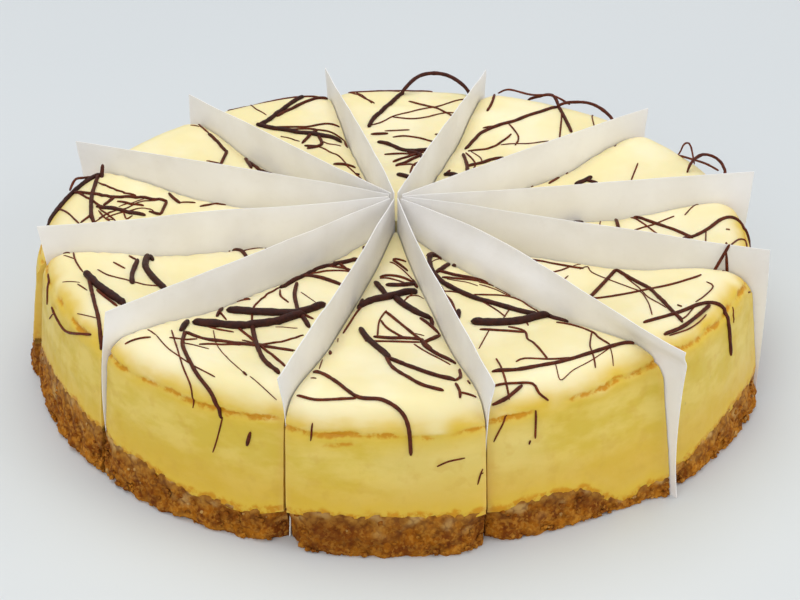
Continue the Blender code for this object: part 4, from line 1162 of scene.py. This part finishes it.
def make_cake():
    """Cream, crust and drizzle of every slice, and the paper in every cut."""
    cream_look, crust_look = cream_material(), crust_material()
    sauce_look, paper_look = drizzle_material(), paper_material()
    draw = random.Random(CRUMB_SEED)
    for cake in all_slices():
        sides = round((shoulder(cake)[1] - CRUST_HEIGHT) / SIDE_STEP)
        tops = round((CREST_RADIUS - TIP_RADIUS) / TOP_STEP)
        columns = [cream_column(cake, share, sides, tops) for share in shares_of(cake, COLUMN_STEP)]
        verts, masks, faces = loft(columns)
        cream = new_piece(f"cream_{cake.number:02d}", verts, faces, cream_look, masks)
        walls = round(CRUST_HEIGHT / CRUST_STEP)
        columns = [crust_column(cake, share, walls) for share in shares_of(cake, CRUST_STEP)]
        verts, masks, faces = loft(columns)
        crust_crumbs(cake, verts, masks, faces, draw)
        crust = new_piece(f"biscuit_{cake.number:02d}", verts, faces, crust_look, masks)
        sauce = drizzle_piece(cake, cream, sauce_look)
        placed_on_frame(cream, "cream", f"filling_{cake.number:02d}")
        placed_on_frame(sauce, "drizzle", f"filling_{cake.number:02d}")
        placed_on_frame(crust, "biscuit", f"crust_{cake.number:02d}")
    for index in range(len(CUT_AZIMUTHS)):
        placed_on_frame(paper_piece(index, paper_look), "paper", f"paper_{index + 1:02d}")


# Square soft lights: name, place, aim and size in metres, power in watts, colour
LIGHTS = (("overhead", (-0.15, 0.25, 1.2), (0.0, 0.0, 0.0), 1.3, 8.7, (1.0, 0.985, 0.96)),
          ("front", (-0.5, -1.3, 0.8), (0.0, 0.0, 0.03), 1.0, 6.5, (1.0, 0.99, 0.97)),
          ("right", (1.3, -0.4, 0.6), (0.0, 0.0, 0.03), 0.8, 5.2, (1.0, 0.99, 0.97)))
SKY_COLOUR = (0.93, 0.96, 1.0, 1.0)
SKY_STRENGTH = 0.52
FLOOR_HALF = 4.0
FLOOR_BELOW = 0.05 * MM


def soft_light(name, place, aim, size, power, colour):
    """Large square light aimed at a point."""
    data = bpy.data.lights.new(name, "AREA")
    data.shape = "SQUARE"
    data.size = size
    data.energy = power
    data.color = colour
    lamp = bpy.data.objects.new(name, data)
    lamp.location = place
    lamp.rotation_euler = (Vector(aim) - Vector(place)).to_track_quat("-Z", "Y").to_euler()
    bpy.context.scene.collection.objects.link(lamp)


def make_studio():
    """Pale floor and soft light."""
    shape = bmesh.new()
    bmesh.ops.create_grid(shape, x_segments=8, y_segments=8, size=FLOOR_HALF)
    mesh = bpy.data.meshes.new("floor")
    shape.to_mesh(mesh)
    shape.free()
    mesh.materials.append(floor_material())
    floor = bpy.data.objects.new("floor", mesh)
    floor.location.z = -FLOOR_BELOW
    bpy.context.scene.collection.objects.link(floor)
    for light in LIGHTS:
        soft_light(*light)
    world = bpy.data.worlds.new("studio")
    world.use_nodes = True
    sky = world.node_tree.nodes["Background"]
    sky.inputs["Color"].default_value = SKY_COLOUR
    sky.inputs["Strength"].default_value = SKY_STRENGTH
    bpy.context.scene.world = world
    bpy.context.scene.view_settings.view_transform = "Standard"


# The photograph's camera, worked out from the cake's own points in it
CAMERA_ELEVATION = math.radians(28.935)
CAMERA_ROLL = math.radians(-0.413)
CAMERA_DISTANCE = 613.311 * MM
CAMERA_CENTRE = (1.105 * MM, 28.373 * MM)
CAMERA_LENS = 77.76
CAMERA_SENSOR = 36.0


def make_camera():
    """The photograph's view."""
    ahead = Vector((0.0, math.cos(CAMERA_ELEVATION), -math.sin(CAMERA_ELEVATION)))
    right = Vector((1.0, 0.0, 0.0))
    up = right.cross(ahead)
    side = right * math.cos(CAMERA_ROLL) + up * math.sin(CAMERA_ROLL)
    upright = up * math.cos(CAMERA_ROLL) - right * math.sin(CAMERA_ROLL)
    data = bpy.data.cameras.new("photograph_view")
    data.lens = CAMERA_LENS
    data.sensor_width = CAMERA_SENSOR
    camera = bpy.data.objects.new("photograph_view", data)
    place = Vector((*CAMERA_CENTRE, 0.0)) - ahead * CAMERA_DISTANCE
    turn = Matrix((side, upright, -ahead)).transposed().to_4x4()
    camera.matrix_world = Matrix.Translation(place) @ turn
    bpy.context.scene.collection.objects.link(camera)
    bpy.context.scene.camera = camera


make_cake()
make_studio()
make_camera()
